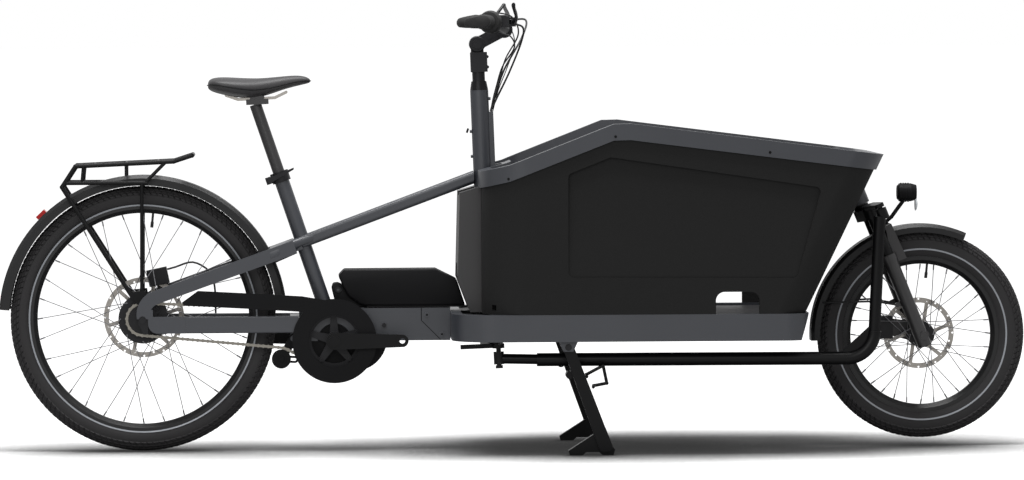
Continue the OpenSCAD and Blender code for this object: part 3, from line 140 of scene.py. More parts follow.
def finish(name, tone, roughness, metallic=0.0, ior=1.5, drift="", drift_mm=120, grain_mm=1.5,
           grain_depth=0.0, coat=0.0, gloss=0.5):
    """A shader for one real surface. Tones are sRGB, grain and drift are in millimetres."""
    material = bpy.data.materials.new(name)
    material.use_nodes = True
    tree = material.node_tree
    shader = tree.nodes["Principled BSDF"]
    shader.inputs["Metallic"].default_value = metallic
    if not metallic:
        shader.inputs["IOR"].default_value = ior
        shader.inputs["Specular IOR Level"].default_value = gloss
    shader.inputs["Coat Weight"].default_value = coat
    place = add_node(tree, "ShaderNodeTexCoord").outputs["Object"]
    slow = add_node(tree, "ShaderNodeTexNoise", {"Scale": 1000 / drift_mm, "Detail": 4.0},
                    {"Vector": place})
    tones = add_node(tree, "ShaderNodeMix",
                     {"data_type": "RGBA", 6: linear(tone), 7: linear(drift or tone)},
                     {0: slow.outputs["Fac"]})
    tree.links.new(tones.outputs[2], shader.inputs["Base Color"])
    fine = add_node(tree, "ShaderNodeTexNoise", {"Scale": 1000 / grain_mm, "Detail": 3.0},
                    {"Vector": place})
    rough = add_node(tree, "ShaderNodeMapRange", {"To Min": roughness - ROUGHNESS_DRIFT,
                                                      "To Max": roughness + ROUGHNESS_DRIFT},
                     {"Value": slow.outputs["Fac"]})
    tree.links.new(rough.outputs[0], shader.inputs["Roughness"])
    if grain_depth:
        bump = add_node(tree, "ShaderNodeBump", {"Strength": 0.6, "Distance": mm(grain_depth)},
                        {"Height": fine.outputs["Fac"]})
        tree.links.new(bump.outputs[0], shader.inputs["Normal"])
    return material


# %% [markdown]
# ## Finishes of the metal
# The frame is aluminium under a dark grey powder coat: baked plastic powder, with a fine
# orange-peel skin that softens its highlights. Small parts are black anodised, which keeps
# the metal's sheen, and spokes, chain and discs are bare steel.

# %% Metal finishes
powder_coat = finish("powder_coat", "#2c2e33", 0.38, drift="#33353a", drift_mm=300, grain_mm=2.0,
                     grain_depth=0.04, gloss=0.5)
black_anodised = finish("black_anodised_aluminium", "#111113", 0.4, drift="#17171a", grain_mm=0.8,
                        grain_depth=0.02, gloss=0.22)
black_enamel = finish("black_enamel", "#09090a", 0.34, drift="#0d0d0e", drift_mm=200, gloss=0.14)
satin_black = finish("satin_black_tube", "#1d1c1d", 0.36, drift="#232223", drift_mm=180, gloss=0.5)
bare_steel = finish("bare_steel", "#a5a19b", 0.28, metallic=1.0, drift="#8f8b86", drift_mm=30)
spoke_steel = finish("drawn_spoke_steel", "#77777a", 0.3, metallic=1.0, drift="#666668", drift_mm=60)
rim_black = finish("black_anodised_rim", "#0d0d0e", 0.34, drift="#131314", drift_mm=150, gloss=0.35)
chain_steel = finish("oiled_chain_steel", "#8f8b83", 0.32, metallic=1.0, drift="#6d6a64", drift_mm=8)

# %% [markdown]
# ## Finishes of plastic and rubber
# Mudguards, motor cover and battery are moulded plastic with a fine spark-eroded grain.
# The box is made of panels with a coarser, cloth-like grain, which turns them a soft black.
# Tyres and grips are rubber: dull, a little brown, and never quite black.

# %% Plastic and rubber finishes
moulded_black = finish("moulded_black_plastic", "#08080a", 0.5, drift="#0d0d0e",
                       grain_mm=0.9, grain_depth=0.06, gloss=0.1)
guard_plastic = finish("mudguard_plastic", "#121213", 0.42, drift="#171718", drift_mm=220,
                       grain_mm=0.7, grain_depth=0.03, gloss=0.25)
tyre_rubber = finish("tyre_rubber", "#1e1d1e", 0.7, drift="#252425", drift_mm=60,
                     grain_mm=2.5, grain_depth=0.08, gloss=0.3)
grip_rubber = finish("grip_rubber", "#151516", 0.66, drift="#1c1c1b", drift_mm=20,
                     grain_mm=1.0, grain_depth=0.08, gloss=0.3)
red_lens = finish("red_reflector", "#b3160f", 0.18, drift="#8c0f0a", drift_mm=6, ior=1.49)
floor_ply = finish("phenolic_floor_panel", "#1c1c1d", 0.55, drift="#252526",
                   grain_mm=3, grain_depth=0.15, gloss=0.2)
saddle_cover = finish("synthetic_leather", "#232224", 0.52, drift="#2b2a2b", drift_mm=90, grain_mm=1.8,
                      grain_depth=0.12, gloss=0.4)
reflex_band = finish("reflective_band", "#8d9095", 0.35, metallic=0.3, drift="#7c7f84", drift_mm=25)
lamp_glass = finish("lamp_glass", "#c9ced2", 0.06, drift="#bcc2c7", drift_mm=9, coat=1.0)
screen_glass = finish("screen_glass", "#0b0c0e", 0.08, drift="#101114", drift_mm=40, coat=0.6)
hose_skin = finish("hose_skin", "#101011", 0.42, drift="#17171a", drift_mm=30, gloss=0.4)


def box_cloth():
    """Grained panel: small cells 2.4 mm apart, as pressed into the plastic to look like cloth."""
    material = finish("grained_box_panel", "#161616", 0.78, drift="#1b1b1b", drift_mm=260, gloss=0.16)
    tree = material.node_tree
    shader = tree.nodes["Principled BSDF"]
    place = add_node(tree, "ShaderNodeTexCoord").outputs["Object"]
    cells = add_node(tree, "ShaderNodeTexVoronoi", {"Scale": 1000 / 2.4}, {"Vector": place})
    bump = add_node(tree, "ShaderNodeBump", {"Strength": 0.8, "Distance": mm(0.25)},
                    {"Height": cells.outputs["Distance"]})
    tree.links.new(bump.outputs[0], shader.inputs["Normal"])
    return material


box_panel = box_cloth()

# %% [markdown]
# ## Each CAD piece gets its finish
# A CAD node keeps its shape and only changes its material.

# %% Paint the CAD nodes
PAINT = {
    powder_coat: ["seat_stays", "chain_stays", "bridge", "seat_tube", "top_tube", "head_tube",
                  "deck_frame", "box_rim", "front_head"],
    box_panel: ["box_side_r", "box_side_l", "box_front", "box_rear"],
    moulded_black: ["motor", "battery", "chain_guard", "tensioner", "tension_roller", "headlight"],
    guard_plastic: ["rear_fender", "front_fender"],
    black_enamel: ["rack", "fork_crown", "steering_rod", "stand", "cranks", "column"],
    black_anodised: ["sprocket", "rear_caliper", "front_caliper", "seat_lever", "chainring",
                     "handlebar", "lever_r", "lever_l", "rear_hub", "front_hub", "rear_axle", "mast",
                     "seat_collar"],
    satin_black: ["seatpost", "fork_lowers", "rear_cover"],
    bare_steel: ["rear_disc", "front_disc", "rails"],
    spoke_steel: ["rear_spokes", "front_spokes"],
    chain_steel: ["chain"],
    rim_black: ["rear_rim", "front_rim"],
    tyre_rubber: ["rear_tyre", "front_tyre"],
    grip_rubber: ["grip_r", "grip_l"],
    hose_skin: ["cables", "rear_hose"],
    saddle_cover: ["saddle"],
    red_lens: ["reflector"],
    floor_ply: ["box_floor"],
}
for material, names in PAINT.items():
    for name in names:
        node = NODES[name]
        node.data.materials.clear()
        node.data.materials.append(material)
print("painted", sum(len(v) for v in PAINT.values()), "of", len(NODES))

# %% [markdown]
# ## Tools for new pieces
# Most small pieces here are lofts or turned shapes. For a loft, a ring of vertices is
# extruded from station to station and each new ring takes its own outline, as one does by
# hand with extrude and scale. A turned shape starts from an outline ring and is spun round
# its axle. The last step is always the same: faces outwards, a finish, and a body to ride on.


def outline_ring(points):
    """A filled ring of vertices at these points, selected, in edit mode."""
    deselect()
    bpy.ops.mesh.primitive_circle_add(vertices=len(points), fill_type="NGON")
    bpy.ops.object.mode_set(mode="EDIT")
    cage = bmesh.from_edit_mesh(bpy.context.object.data)
    cage.verts.ensure_lookup_table()
    for vertex, point in zip(cage.verts, points):
        vertex.co = point
    bmesh.update_edit_mesh(bpy.context.object.data)


def loft(rings):
    """Extrude the first ring from station to station; ends are closed by the ring's own face."""
    outline_ring(rings[0])
    data = bpy.context.object.data
    bpy.ops.mesh.select_all(action="SELECT")
    front = list(range(len(rings[0])))
    for ring in rings[1:]:
        bpy.ops.mesh.extrude_region_move()
        cage = bmesh.from_edit_mesh(data)
        cage.verts.ensure_lookup_table()
        ahead_of = []
        for vertex in [cage.verts[index] for index in front]:
            others = (edge.other_vert(vertex) for edge in vertex.link_edges)
            ahead_of.append(next(other.index for other in others if other.select))
        for index, point in zip(ahead_of, ring):
            cage.verts[index].co = point
        bmesh.update_edit_mesh(data)
        front = ahead_of
    bpy.ops.mesh.select_all(action="SELECT")
    bpy.ops.mesh.normals_make_consistent(inside=False)
    bpy.ops.object.mode_set(mode="OBJECT")


def turned(axle, profile, steps=96, axis=(0, 1, 0)):
    """Spin a closed outline of (radius, offset along the axis) round an axle."""
    along = Vector(axis).normalized()
    across = Vector((0, 0, 1)) if abs(along.z) < 0.9 else Vector((1, 0, 0))
    across = (across - along * across.dot(along)).normalized()
    outline_ring([axle + across * mm(r) + along * mm(o) for r, o in profile])
    bpy.ops.mesh.select_all(action="SELECT")
    bpy.ops.mesh.delete(type="ONLY_FACE")
    bpy.ops.mesh.select_all(action="SELECT")
    bpy.ops.mesh.spin(steps=steps, angle=2 * math.pi, center=axle, axis=along)
    bpy.ops.mesh.select_all(action="SELECT")
    bpy.ops.mesh.remove_doubles(threshold=mm(0.02))
    bpy.ops.mesh.normals_make_consistent(inside=False)
    bpy.ops.object.mode_set(mode="OBJECT")


def keep(name, body, material, smooth=40, replaces=()):
    """Name and finish the active piece, and let it ride on a body if one is given."""
    piece = bpy.context.object
    piece.name = piece.data.name = name
    bpy.ops.object.transform_apply(location=True, rotation=True, scale=True)
    bpy.ops.object.shade_smooth_by_angle(angle=math.radians(smooth))
    for modifier in list(piece.modifiers):
        bpy.ops.object.modifier_apply(modifier=modifier.name)
    piece.data.materials.clear()
    piece.data.materials.append(material)
    if body:
        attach(piece, body)
    if replaces:
        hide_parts(*replaces)
    print(name, "faces:", len(piece.data.polygons))
    return piece


def modify(kind, **settings):
    """Add a modifier to the active piece and apply it."""
    piece = bpy.context.object
    modifier = piece.modifiers.new(kind.lower(), kind)
    for key, value in settings.items():
        setattr(modifier, key, value)
    bpy.ops.object.modifier_apply(modifier=modifier.name)


def join(pieces):
    deselect()
    for piece in pieces:
        piece.select_set(True)
    bpy.context.view_layer.objects.active = pieces[0]
    bpy.ops.object.join()
    return bpy.context.object


# %% [markdown]
# ## Tyres
# A utility tyre is a round carcass with a crown of rubber blocks and a pale reflecting line on
# each wall. The carcass is turned, and the faces of its crown are inset one by one and raised,
# which cuts the grooves between blocks. The crown's columns lag behind each other the further
# out they are, so the blocks run in a shallow V.

# %% Tyres with tread and reflecting line
BLOCK_HEIGHT, HALF_GROOVE = 3.0, 1.9
CROWN = (-80, -61, -43, -25, -8, 8, 25, 43, 61, 80)     # degrees round the section, between columns
WALL = (88, 98, 108, 118, 131)                          # from the last block down to the rim
SHOULDER_LAG = 1.6                                      # pitches that the shoulder blocks lag behind
RIM_FLANK = 16.2                                        # the reflecting line stays outside the rim


def wheel_size(node):
    """A wheel piece's centre, its radius and its width in millimetres."""
    low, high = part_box(node)
    middle = (Vector(low) + Vector(high)) / 2
    return middle, (high[2] - low[2]) * 500, (high[1] - low[1]) * 1000


def tyre(name, node, rim_node, body, pitches, line):
    axle, radius, width = wheel_size(node)
    seat = wheel_size(rim_node)[1] + 0.5
    bulge = width / 2 - BLOCK_HEIGHT
    ring_radius = radius - width / 2
    drop = (ring_radius - seat) / -math.cos(math.radians(WALL[-1]))     # walls reach to the rim
    degrees = [-a for a in reversed(WALL)] + list(CROWN) + list(WALL)
    profile = []
    for a in degrees:
        r = ring_radius + (bulge if abs(a) < 90 else drop) * math.cos(math.radians(a))
        profile.append((r, bulge * math.sin(math.radians(a)) * (0.8 if abs(a) == WALL[-1] else 1)))
    profile += [(seat - 0.5, 9), (seat - 0.5, -9)]
    turned(axle, profile, steps=pitches)
    carcass = bpy.context.object
    step = 2 * math.pi / pitches
    for vertex in carcass.data.vertices:
        spoke = vertex.co - axle
        out = math.hypot(spoke.x, spoke.z) - mm(ring_radius)
        lean = min(abs(math.atan2(spoke.y, out)) / math.radians(CROWN[-1]), 1)
        vertex.co = axle + Matrix.Rotation(lean * SHOULDER_LAG * step, 3, "Y") @ spoke
    deselect()
    carcass.select_set(True)
    bpy.ops.object.mode_set(mode="EDIT")
    cage = bmesh.from_edit_mesh(carcass.data)
    for face in cage.faces:
        spoke = face.calc_center_median() - axle
        out = math.hypot(spoke.x, spoke.z) - mm(ring_radius)
        face.select_set(out > 0 and abs(math.atan2(spoke.y, out)) < math.radians(CROWN[-1] - 4))
    bmesh.update_edit_mesh(carcass.data)
    bpy.ops.mesh.inset(thickness=mm(HALF_GROOVE), depth=mm(BLOCK_HEIGHT), use_individual=True)
    bpy.ops.object.mode_set(mode="OBJECT")
    keep(name, body, tyre_rubber, smooth=35, replaces=[node])
    for side in (-1, 1):
        band = []
        for r, lift in ((line, 0.1), (line, 0.8), (line + 2, 0.8), (line + 4, 0.8), (line + 4, 0.1)):
            angle = math.acos(max((r - ring_radius) / drop, math.cos(math.radians(WALL[-1]))))
            flank = bulge * math.sin(angle)
            if r < seat + 4:        # beside the rim's edge the wall is drawn in
                flank = max(RIM_FLANK, flank * (0.8 + 0.05 * max(r - seat, 0)))
            band.append((r, side * (flank + lift)))
        turned(axle, band, steps=128)
        keep(name + ("_line_l" if side > 0 else "_line_r"), body, reflex_band)


tyre("rear_tyre_tread", "rear_tyre", "rear_rim", "rear_wheel", 132,
     line=wheel_size("rear_rim")[1] - 2)
tyre("front_tyre_tread", "front_tyre", "front_rim", "front_wheel", 104,
     line=wheel_size("front_rim")[1] + 16)

# %% [markdown]
# ## Saddle
# A saddle is a shell with a foam pad under a sewn cover: wide and crowned at the back, narrow
# at the nose, its flanks pulled in under the rim. It is lofted from thirteen stations along its
# length, then subdivided, and a piping runs round the edge where the cover meets the shell.

# %% Saddle
STATIONS = (  # x, half width, top, edge, underside
    (166, 16, 925, 921, 916), (168, 44, 933, 922, 911), (176, 62, 939, 923, 905),
    (196, 74, 942, 921, 899), (226, 76, 941, 916, 892), (258, 68, 939, 911, 888),
    (290, 53, 938, 910, 889), (322, 38, 940, 914, 897), (354, 28, 943, 921, 909),
    (384, 23, 945.5, 928, 917), (406, 19, 944, 931, 922), (419, 12, 939, 931, 925),
    (424, 5, 934, 931, 928))


def saddle_ring(x, half, top, edge, under, count=28):
    """One station of the saddle: crowned above the edge, drawn in below it."""
    ring = []
    for k in range(count):
        c, s = math.cos(2 * math.pi * k / count), math.sin(2 * math.pi * k / count)
        y = half * math.copysign(abs(c) ** 0.8, c)
        if s >= 0:
            z = edge + (top - edge) * s ** 0.75
        else:
            y *= 1 - 0.25 * abs(s)
            z = edge + (under - edge) * abs(s) ** 0.5
        ring.append(at(x, y, z))
    return ring


loft([saddle_ring(*station) for station in STATIONS])
modify("SUBSURF", levels=2, render_levels=2)
saddle_pad = keep("saddle_pad", "post", saddle_cover, smooth=60, replaces=["saddle"])

# %% [markdown]
# The piping follows the saddle's edge. A closed run of points becomes a thin tube.

# %% Tubes along a run of points, and the saddle's piping
def smooth_run(points, steps=8, closed=False):
    """Catmull-Rom points through the given ones."""
    count = len(points)
    run = []
    for i in range(count if closed else count - 1):
        if closed:
            a, b, c, d = (points[(i + k) % count] for k in (-1, 0, 1, 2))
        else:
            b, c = points[i], points[i + 1]
            a = points[i - 1] if i else b * 2 - c
            d = points[i + 2] if i + 2 < count else c * 2 - b
        for k in range(steps):
            t = k / steps
            run.append(0.5 * (2 * b + (c - a) * t + (2 * a - 5 * b + 4 * c - d) * t * t
                              + (3 * b - 3 * c + d - a) * t ** 3))
    if not closed:
        run.append(points[-1])
    return run


def tube(run, radius, sides=10, closed=False):
    """A round tube swept along a run of points, made as a bevelled curve and turned into a mesh."""
    deselect()
    curve = bpy.data.curves.new("run", "CURVE")
    curve.dimensions = "3D"
    curve.bevel_depth = mm(radius)
    curve.bevel_resolution = max(0, sides // 2 - 2)
    curve.use_fill_caps = not closed
    spline = curve.splines.new("POLY")
    spline.points.add(len(run) - 1)
    spline.points.foreach_set("co", [c for p in run for c in (*p, 1)])
    spline.use_cyclic_u = closed
    holder = bpy.data.objects.new("run", curve)
    bpy.context.scene.collection.objects.link(holder)
    holder.select_set(True)
    bpy.context.view_layer.objects.active = holder
    bpy.ops.object.convert(target="MESH")
    return bpy.context.object


edge_run = [at(x, half * 1.005, edge) for x, half, _, edge, _ in STATIONS[:-1]]
edge_run += [at(425, 0, 931)] + [Vector((p.x, -p.y, p.z)) for p in reversed(edge_run)]
edge_run += [at(164.5, 0, 921)]
PIPING_RADIUS = 1.3
tube(smooth_run(edge_run, steps=5, closed=True), PIPING_RADIUS, closed=True)
keep("saddle_piping", "post", moulded_black, smooth=80)

# %% [markdown]
# ## Grips
# The grips are shaped for the hand: a round barrel towards the middle of the bar and a flat
# wing that carries the palm at its end. Each is lofted along the bar's end, its rings drawn
# out backwards where the wing is, with fine ribs from rings that are a little larger and
# smaller in turn. The right one turns as a gear shifter, so it rides with the twist body.

# %% Grips with palm wings
BAR_END = (851, 345, 1080)
BAR_BEND = (879, 190, 1076)
GRIP_RADIUS, RIB, VALLEY = 16.2, 0.45, -0.25
WING = 34
DIAL = [(16.5, 86), (24.5, 87), (26, 90), (26.5, 93), (27.5, 95), (29, 110), (28.5, 116), (25, 118),
        (16.5, 118)]
COLLAR = [(16, 86), (18.5, 87), (19.5, 89), (19.5, 98), (18.5, 100), (12, 100)]


def wing_reach(s):
    """How far the wing stands out behind the bar, s millimetres in from the end."""
    t = min(max((78 - s) / 46, 0), 1) * min(max((s + 7) / 13, 0), 1) ** 0.5
    return WING * t * t * (3 - 2 * t)


def grip(name, side, node, body):
    tip = at(BAR_END[0], side * BAR_END[1], BAR_END[2])
    inward = (at(BAR_BEND[0], side * BAR_BEND[1], BAR_BEND[2]) - tip).normalized()
    behind = Vector((-1, 0, 0))
    behind = (behind - inward * behind.dot(inward)).normalized()
    down = Vector((0, 0, -1))
    stations = [-5, -3] + [2 * k for k in range(0, 44)]
    rings = []
    for n, s in enumerate(stations):
        reach = wing_reach(s)
        barrel = GRIP_RADIUS + (RIB if n % 2 else VALLEY) * (s > 8)
        if s < 0:
            barrel *= 0.82 if s < -4 else 0.95
        ring = []
        for k in range(28):
            c, d = math.cos(2 * math.pi * k / 28), math.sin(2 * math.pi * k / 28)
            back = min(1, max(0, c) * 1.8)
            drawn = back * min(1, reach / 30)       # a wing is a little thinner, and droops
            ring.append(tip + inward * mm(s) + behind * mm(barrel * c + reach * back)
                        + down * mm(barrel * d * (1 - 0.1 * drawn) + 4 * drawn))
        rings.append(ring)
    loft(rings)
    barrel_piece = bpy.context.object
    turned(tip, *((DIAL, 64) if side < 0 else (COLLAR, 48)), axis=inward)
    join([barrel_piece, bpy.context.object])
    keep(name, body, grip_rubber, smooth=50, replaces=[node])


grip("grip_right", -1, "grip_r", "twist")
grip("grip_left", 1, "grip_l", "bar")

# %% [markdown]
# ## Screws, caps and buttons
# Socket screws hold the bridge, the stand and the chainring. One screw is a short cylinder
# whose top face is inset twice and pushed in for the socket. A function finds the CAD surface
# that a small piece sits on, by looking along a line until it meets the node.

# %% Screws
def screw(centre, axis, radius, height, socket=0.45):
    """A socket screw whose head stands on `centre` and points along `axis`."""
    deselect()
    bpy.ops.mesh.primitive_cylinder_add(vertices=24, radius=mm(radius), depth=mm(height),
                                        location=centre + Vector(axis).normalized() * mm(height / 2),
                                        rotation=Vector(axis).to_track_quat("Z", "Y").to_euler())
    bpy.ops.object.mode_set(mode="EDIT")
    head = bmesh.from_edit_mesh(bpy.context.object.data)
    for face in head.faces:
        face.select_set(face.normal.z > 0.9)
    head.select_flush_mode()
    bmesh.update_edit_mesh(bpy.context.object.data)
    bpy.ops.mesh.inset(thickness=mm(radius * 0.12), depth=mm(height * 0.08))
    bpy.ops.mesh.inset(thickness=mm(radius * (0.88 - socket)), depth=0)
    bpy.ops.mesh.inset(thickness=mm(0.02), depth=-mm(height * 0.5))
    bpy.ops.object.mode_set(mode="OBJECT")
    return bpy.context.object


def surface(node, x, z, side):
    """Where a line along y meets a node at (x, z), seen from the right (-1) or left (1)."""
    start = at(x, side * 1200, z)
    hit, place, _, _ = NODES[node].ray_cast(start, Vector((0, -side, 0)))
    if not hit:
        print("no surface of", node, "at", x, z)
        place = at(x, side * 50, z)
    return place


def screws(name, body, material, spots):
    """Screws that point outwards: each spot is a node, x, z, side, head radius and height."""
    made = []
    for node, x, z, side, radius, height in spots:
        made.append(screw(surface(node, x, z, side), (0, side, 0), radius, height))
    join(made)
    keep(name, body, material, smooth=35)


def turned_screws(name, body, material, spots):
    """Screws in any direction: each spot is a place, an axis, a head radius and a height."""
    join([screw(at(*p), axis, radius, height) for p, axis, radius, height in spots])
    keep(name, body, material, smooth=35)


def on_circle(radius, degrees):
    """A point at this radius and angle round the crank axle, as (x, z)."""
    a = math.radians(degrees)
    return CRANK_AXLE[0] + radius * math.cos(a), CRANK_AXLE[1] + radius * math.sin(a)


CRANK_AXLE = (481, 279)
BOTH = (-1, 1)
screws("bridge_screws", "frame", black_anodised,
       [("bridge", x, z, side, radius, 3.2)
        for side in BOTH for x, z, radius in ((606, 316, 5.6), (714, 341, 5), (752, 292, 4.4))])
screws("rim_buttons", "frame", moulded_black,
       [("box_rim", x, z, side, 3.4, 1.6)
        for side in BOTH for x, z in ((1177, 793), (912, 689), (1560, 752))])
screws("stay_screws", "frame", black_anodised, [("seat_stays", 0, 334, side, 8.5, 3) for side in BOTH])
screws("stand_screws", "stand", black_anodised, [("stand", 1060, 270, side, 7, 3) for side in BOTH])
screws("chainring_screws", "crankset", black_anodised,
       [("chainring", *on_circle(61, degrees), -1, 4.2, 1.4) for degrees in range(20, 380, 72)])
screws("crank_caps", "crankset", black_enamel,
       [("cranks", *CRANK_AXLE, side, 14, 2.5) for side in BOTH])
screws("motor_screws", "frame", black_enamel,
       [("motor", *on_circle(66, degrees), -1, 3, 1.2) for degrees in (200, 250, 300, 340)])

# %% [markdown]
# ## Hoses at the handlebar
# Brake hoses and the cable of the gear hub hang in front of the steering head between the
# handlebar and a clip on the head tube. Three joints lie between their ends, so each hose is
# made in three lengths that meet, cut where the stem's tilt, the sliding mast and the steering
# would part them; the lengths are not attached to these parts.

# %% Handlebar hoses
HOSES = {    # radius, then the points that the hose passes, from the bar to the frame
    "hose_right": (2.5, [(906, -174.1, 1076), (920, -150, 1074), (956, -105, 1064), (954, -50, 1026),
                         (925, -14, 950), (896, -5, 890), (878, -4.5, 852)]),
    "hose_left": (2.5, [(906, 173.7, 1078), (928, 150, 1080), (972, 105, 1082), (960, 50, 1038),
                        (915, 14, 960), (893, 5, 900), (878, 4.5, 852)]),
    "gear_cable_a": (1.9, [(868, -226, 1096), (892, -196, 1100), (930, -130, 1088), (946, -70, 1046),
                           (916, -20, 985), (900, -9, 930), (886, -7, 886), (880, -6, 852)]),
    "gear_cable_b": (1.9, [(872, -226, 1058), (898, -190, 1050), (926, -120, 1040), (936, -60, 1012),
                           (908, -18, 965), (893, -2, 915), (884, 0, 880), (879, 0, 852)]),
    "light_cable": (1.3, [(912, 12, 1074), (930, 14, 1062), (940, 12, 1020), (920, 8, 960),
                          (898, 2, 905), (884, 8, 852)]),
}
MAST_FROM, COLUMN_FROM = 1006, 930      # the heights at which a hose is cut into its next length


def handlebar_hose(name, radius, points):
    run = smooth_run([at(*p) for p in points], steps=10)
    top = max(range(len(run)), key=lambda i: run[i].z)
    one = next(i for i in range(top, len(run)) if run[i].z * 1000 < MAST_FROM)
    two = next(i for i in range(one, len(run)) if run[i].z * 1000 < COLUMN_FROM)
    for part, body, next_body in ((run[:one + 1], "bar", "mast"), (run[one:two + 1], "mast", "column"),
                                  (run[two:], "column", "frame")):
        tube(part, radius, sides=12)
        piece = keep(name + "_" + body, None, hose_skin, smooth=80)
        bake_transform(piece)
        if name == "hose_right" and body == "bar":
            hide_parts("cables")


for name, (radius, points) in HOSES.items():
    handlebar_hose(name, radius, points)

# %% [markdown]
# ## Flat pieces cut to an outline
# Covers, seams, the battery's shell and the display are prisms: an outline is drawn in the
# side view, extruded across the bicycle and its edges are bevelled.

# %% Prism helper
def bevel_edges(width, segments, sharper_than=30):
    """Round the edges that are sharper than so many degrees."""
    modify("BEVEL", width=mm(width), segments=segments, limit_method="ANGLE",
           angle_limit=math.radians(sharper_than))


def prism(outline, y0, y1, bevel=0.0, segments=2):
    """An outline of (x, z) in the side view, extruded from y0 to y1."""
    loft([[at(x, y0, z) for x, z in outline], [at(x, y1, z) for x, z in outline]])
    if bevel:
        bevel_edges(bevel, segments)
    return bpy.context.object


# %% [markdown]
# ## Battery, its lock and the junction of the tubes
# The battery is a moulded shell with rounded edges and a parting line round its middle. A lock
# housing holds its rear end. Where the stays, the seat tube and the top tube meet, a welded
# knuckle runs from one to the other.

# %% Battery, lock and knuckle
low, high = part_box("battery")
SHELL = [(491, 441), (506, 456.5), (737, 457), (789, 431), (811, 365), (560, 365), (546, 368),
         (516, 390), (502, 416)]
half = (high[1] - low[1]) * 500
join([prism(SHELL, -half, -1, bevel=5, segments=3), prism(SHELL, 1, half, bevel=5, segments=3),
      prism([(x + (640 - x) * 0.012, z + (410 - z) * 0.03) for x, z in SHELL], -3, 3),
      prism([(563, 361), (563, 370), (808, 370), (810, 361)], -half + 5, half - 5)])
keep("battery_shell", "battery", moulded_black, smooth=30, replaces=["battery"])
prism([(474, 410), (478, 421), (489, 423), (503, 417), (516, 391), (546, 369), (566, 364.6),
       (566, 360), (486, 360)], -29, 29, bevel=3)
keep("battery_lock_housing", "frame", moulded_black, smooth=30)
turned(at(491, -29, 405),
       [(0.2, 0), (9, 0), (9, -1.5), (7.5, -4), (3.2, -4), (3.2, -2.5), (0.2, -2.5)], steps=40)
keep("battery_lock_barrel", "frame", black_anodised, smooth=35)


def knuckle_ring(x, top, bottom, half, corner):
    """An upright rectangle across the bicycle with its corners cut off."""
    return [at(x, y, z) for y, z in (
        (-half, bottom + corner), (-half, top - corner), (-half + corner, top),
        (half - corner, top), (half, top - corner), (half, bottom + corner),
        (half - corner, bottom), (-half + corner, bottom))]


low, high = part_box("seat_stays")
outer = high[1] * 1000 + 0.4
loft([knuckle_ring(318, 510, 476, outer, 7), knuckle_ring(346, 520.6, 487, outer, 7),
      knuckle_ring(378, 532.4, 501, 32, 8), knuckle_ring(404, 542, 512, 25.5, 8),
      knuckle_ring(430, 551.5, 521, 24, 8)])
bevel_edges(3, 2, sharper_than=20)
keep("frame_knuckle", "frame", powder_coat, smooth=40)
prism([(700, 326), (702.5, 326), (750, 278.5), (747.5, 278.5)], -45.0, -44.2)
keep("bridge_seam", "frame", moulded_black, smooth=30)
prism([(699, 359), (701, 359), (701, 326), (699, 326)], -45.0, -44.2)
keep("bridge_seam_upright", "frame", moulded_black, smooth=30)

# %% [markdown]
# ## Display, lever bodies and the stem's bolt
# A flat display stands on the middle of the bar, tilted up. Each brake body has a round
# reservoir cap, and the hinge of the adjustable stem is closed by a wide bolt.

# %% Cockpit
loft([[at(887, -24, 1094), at(887, 24, 1094), at(893, 24, 1090), at(893, -24, 1090)],
      [at(911, -24, 1126), at(911, 24, 1126), at(918, 24, 1122), at(918, -24, 1122)]])
bevel_edges(2.5, 3)
keep("display", "bar", screen_glass, smooth=30)
prism([(880, 1072), (908, 1072), (906, 1090), (896, 1096), (884, 1092)], -15, 15, bevel=3)
keep("display_clamp", "bar", moulded_black, smooth=30)
for side, name in ((-1, "right"), (1, "left")):
    turned(at(900, side * 198, 1091), [(0.2, 4), (12, 4), (14, 2.5), (14.5, 0), (14.5, -4), (0.2, -4)],
           steps=40, axis=(0, 0, 1))
    keep("reservoir_cap_" + name, "bar", black_anodised, smooth=35)
turned_screws("stem_bolts", "mast", black_anodised,
              [((845, -20, 1022), (0, -1, 0), 12, 3.5), ((845, 20, 1022), (0, 1, 0), 12, 3.5)])
turned_screws("bar_clamp_bolts", "bar", black_anodised,
              [((913, -17, 1058), (0, -1, 0), 9, 3), ((913, 17, 1058), (0, 1, 0), 9, 3),
               ((877, -17, 1039), (0, -1, 0), 4.5, 2), ((877, 17, 1039), (0, 1, 0), 4.5, 2)])
turned_screws("head_bolts", "frame", black_anodised,
              [((822, 0, 803), (-1, 0, 0.35), 6, 5), ((839, 0, 740), (-1, 0, 0.35), 6, 5)])

# %% [markdown]
# ## Brake levers and the stem's knuckle
# A lever is forged in one piece: a flat blade that sweeps out from its pivot eye, deep at the
# root, and ends in a rounded tip. It is lofted from oval stations along that sweep. The
# adjustable stem turns in a round knuckle, which is turned about the tilt axis itself.

# %% Lever blades
LEVER_PIN = (927, 196, 1064)
BLADE = (  # along x, outwards, up, half depth, half thickness
    (0, -3, 13.5, 5.5, 5.0), (2, 4, 13.5, 6.5, 5.5), (6, 20, 16, 8.5, 5.0), (8, 42, 23, 9.0, 4.2),
    (6, 64, 33, 8.5, 3.8), (2, 86, 42, 8.0, 3.8), (-1, 104, 50, 7.0, 4.2), (-2, 116, 55, 6.0, 5.0),
    (-2, 122, 57, 4.5, 4.2), (-2, 125, 58, 2.0, 2.0))


EYE = [(3.2, 7.6), (8, 7.6), (8.8, 8.4), (8.8, 18.6), (8, 19.4), (3.2, 19.4)]


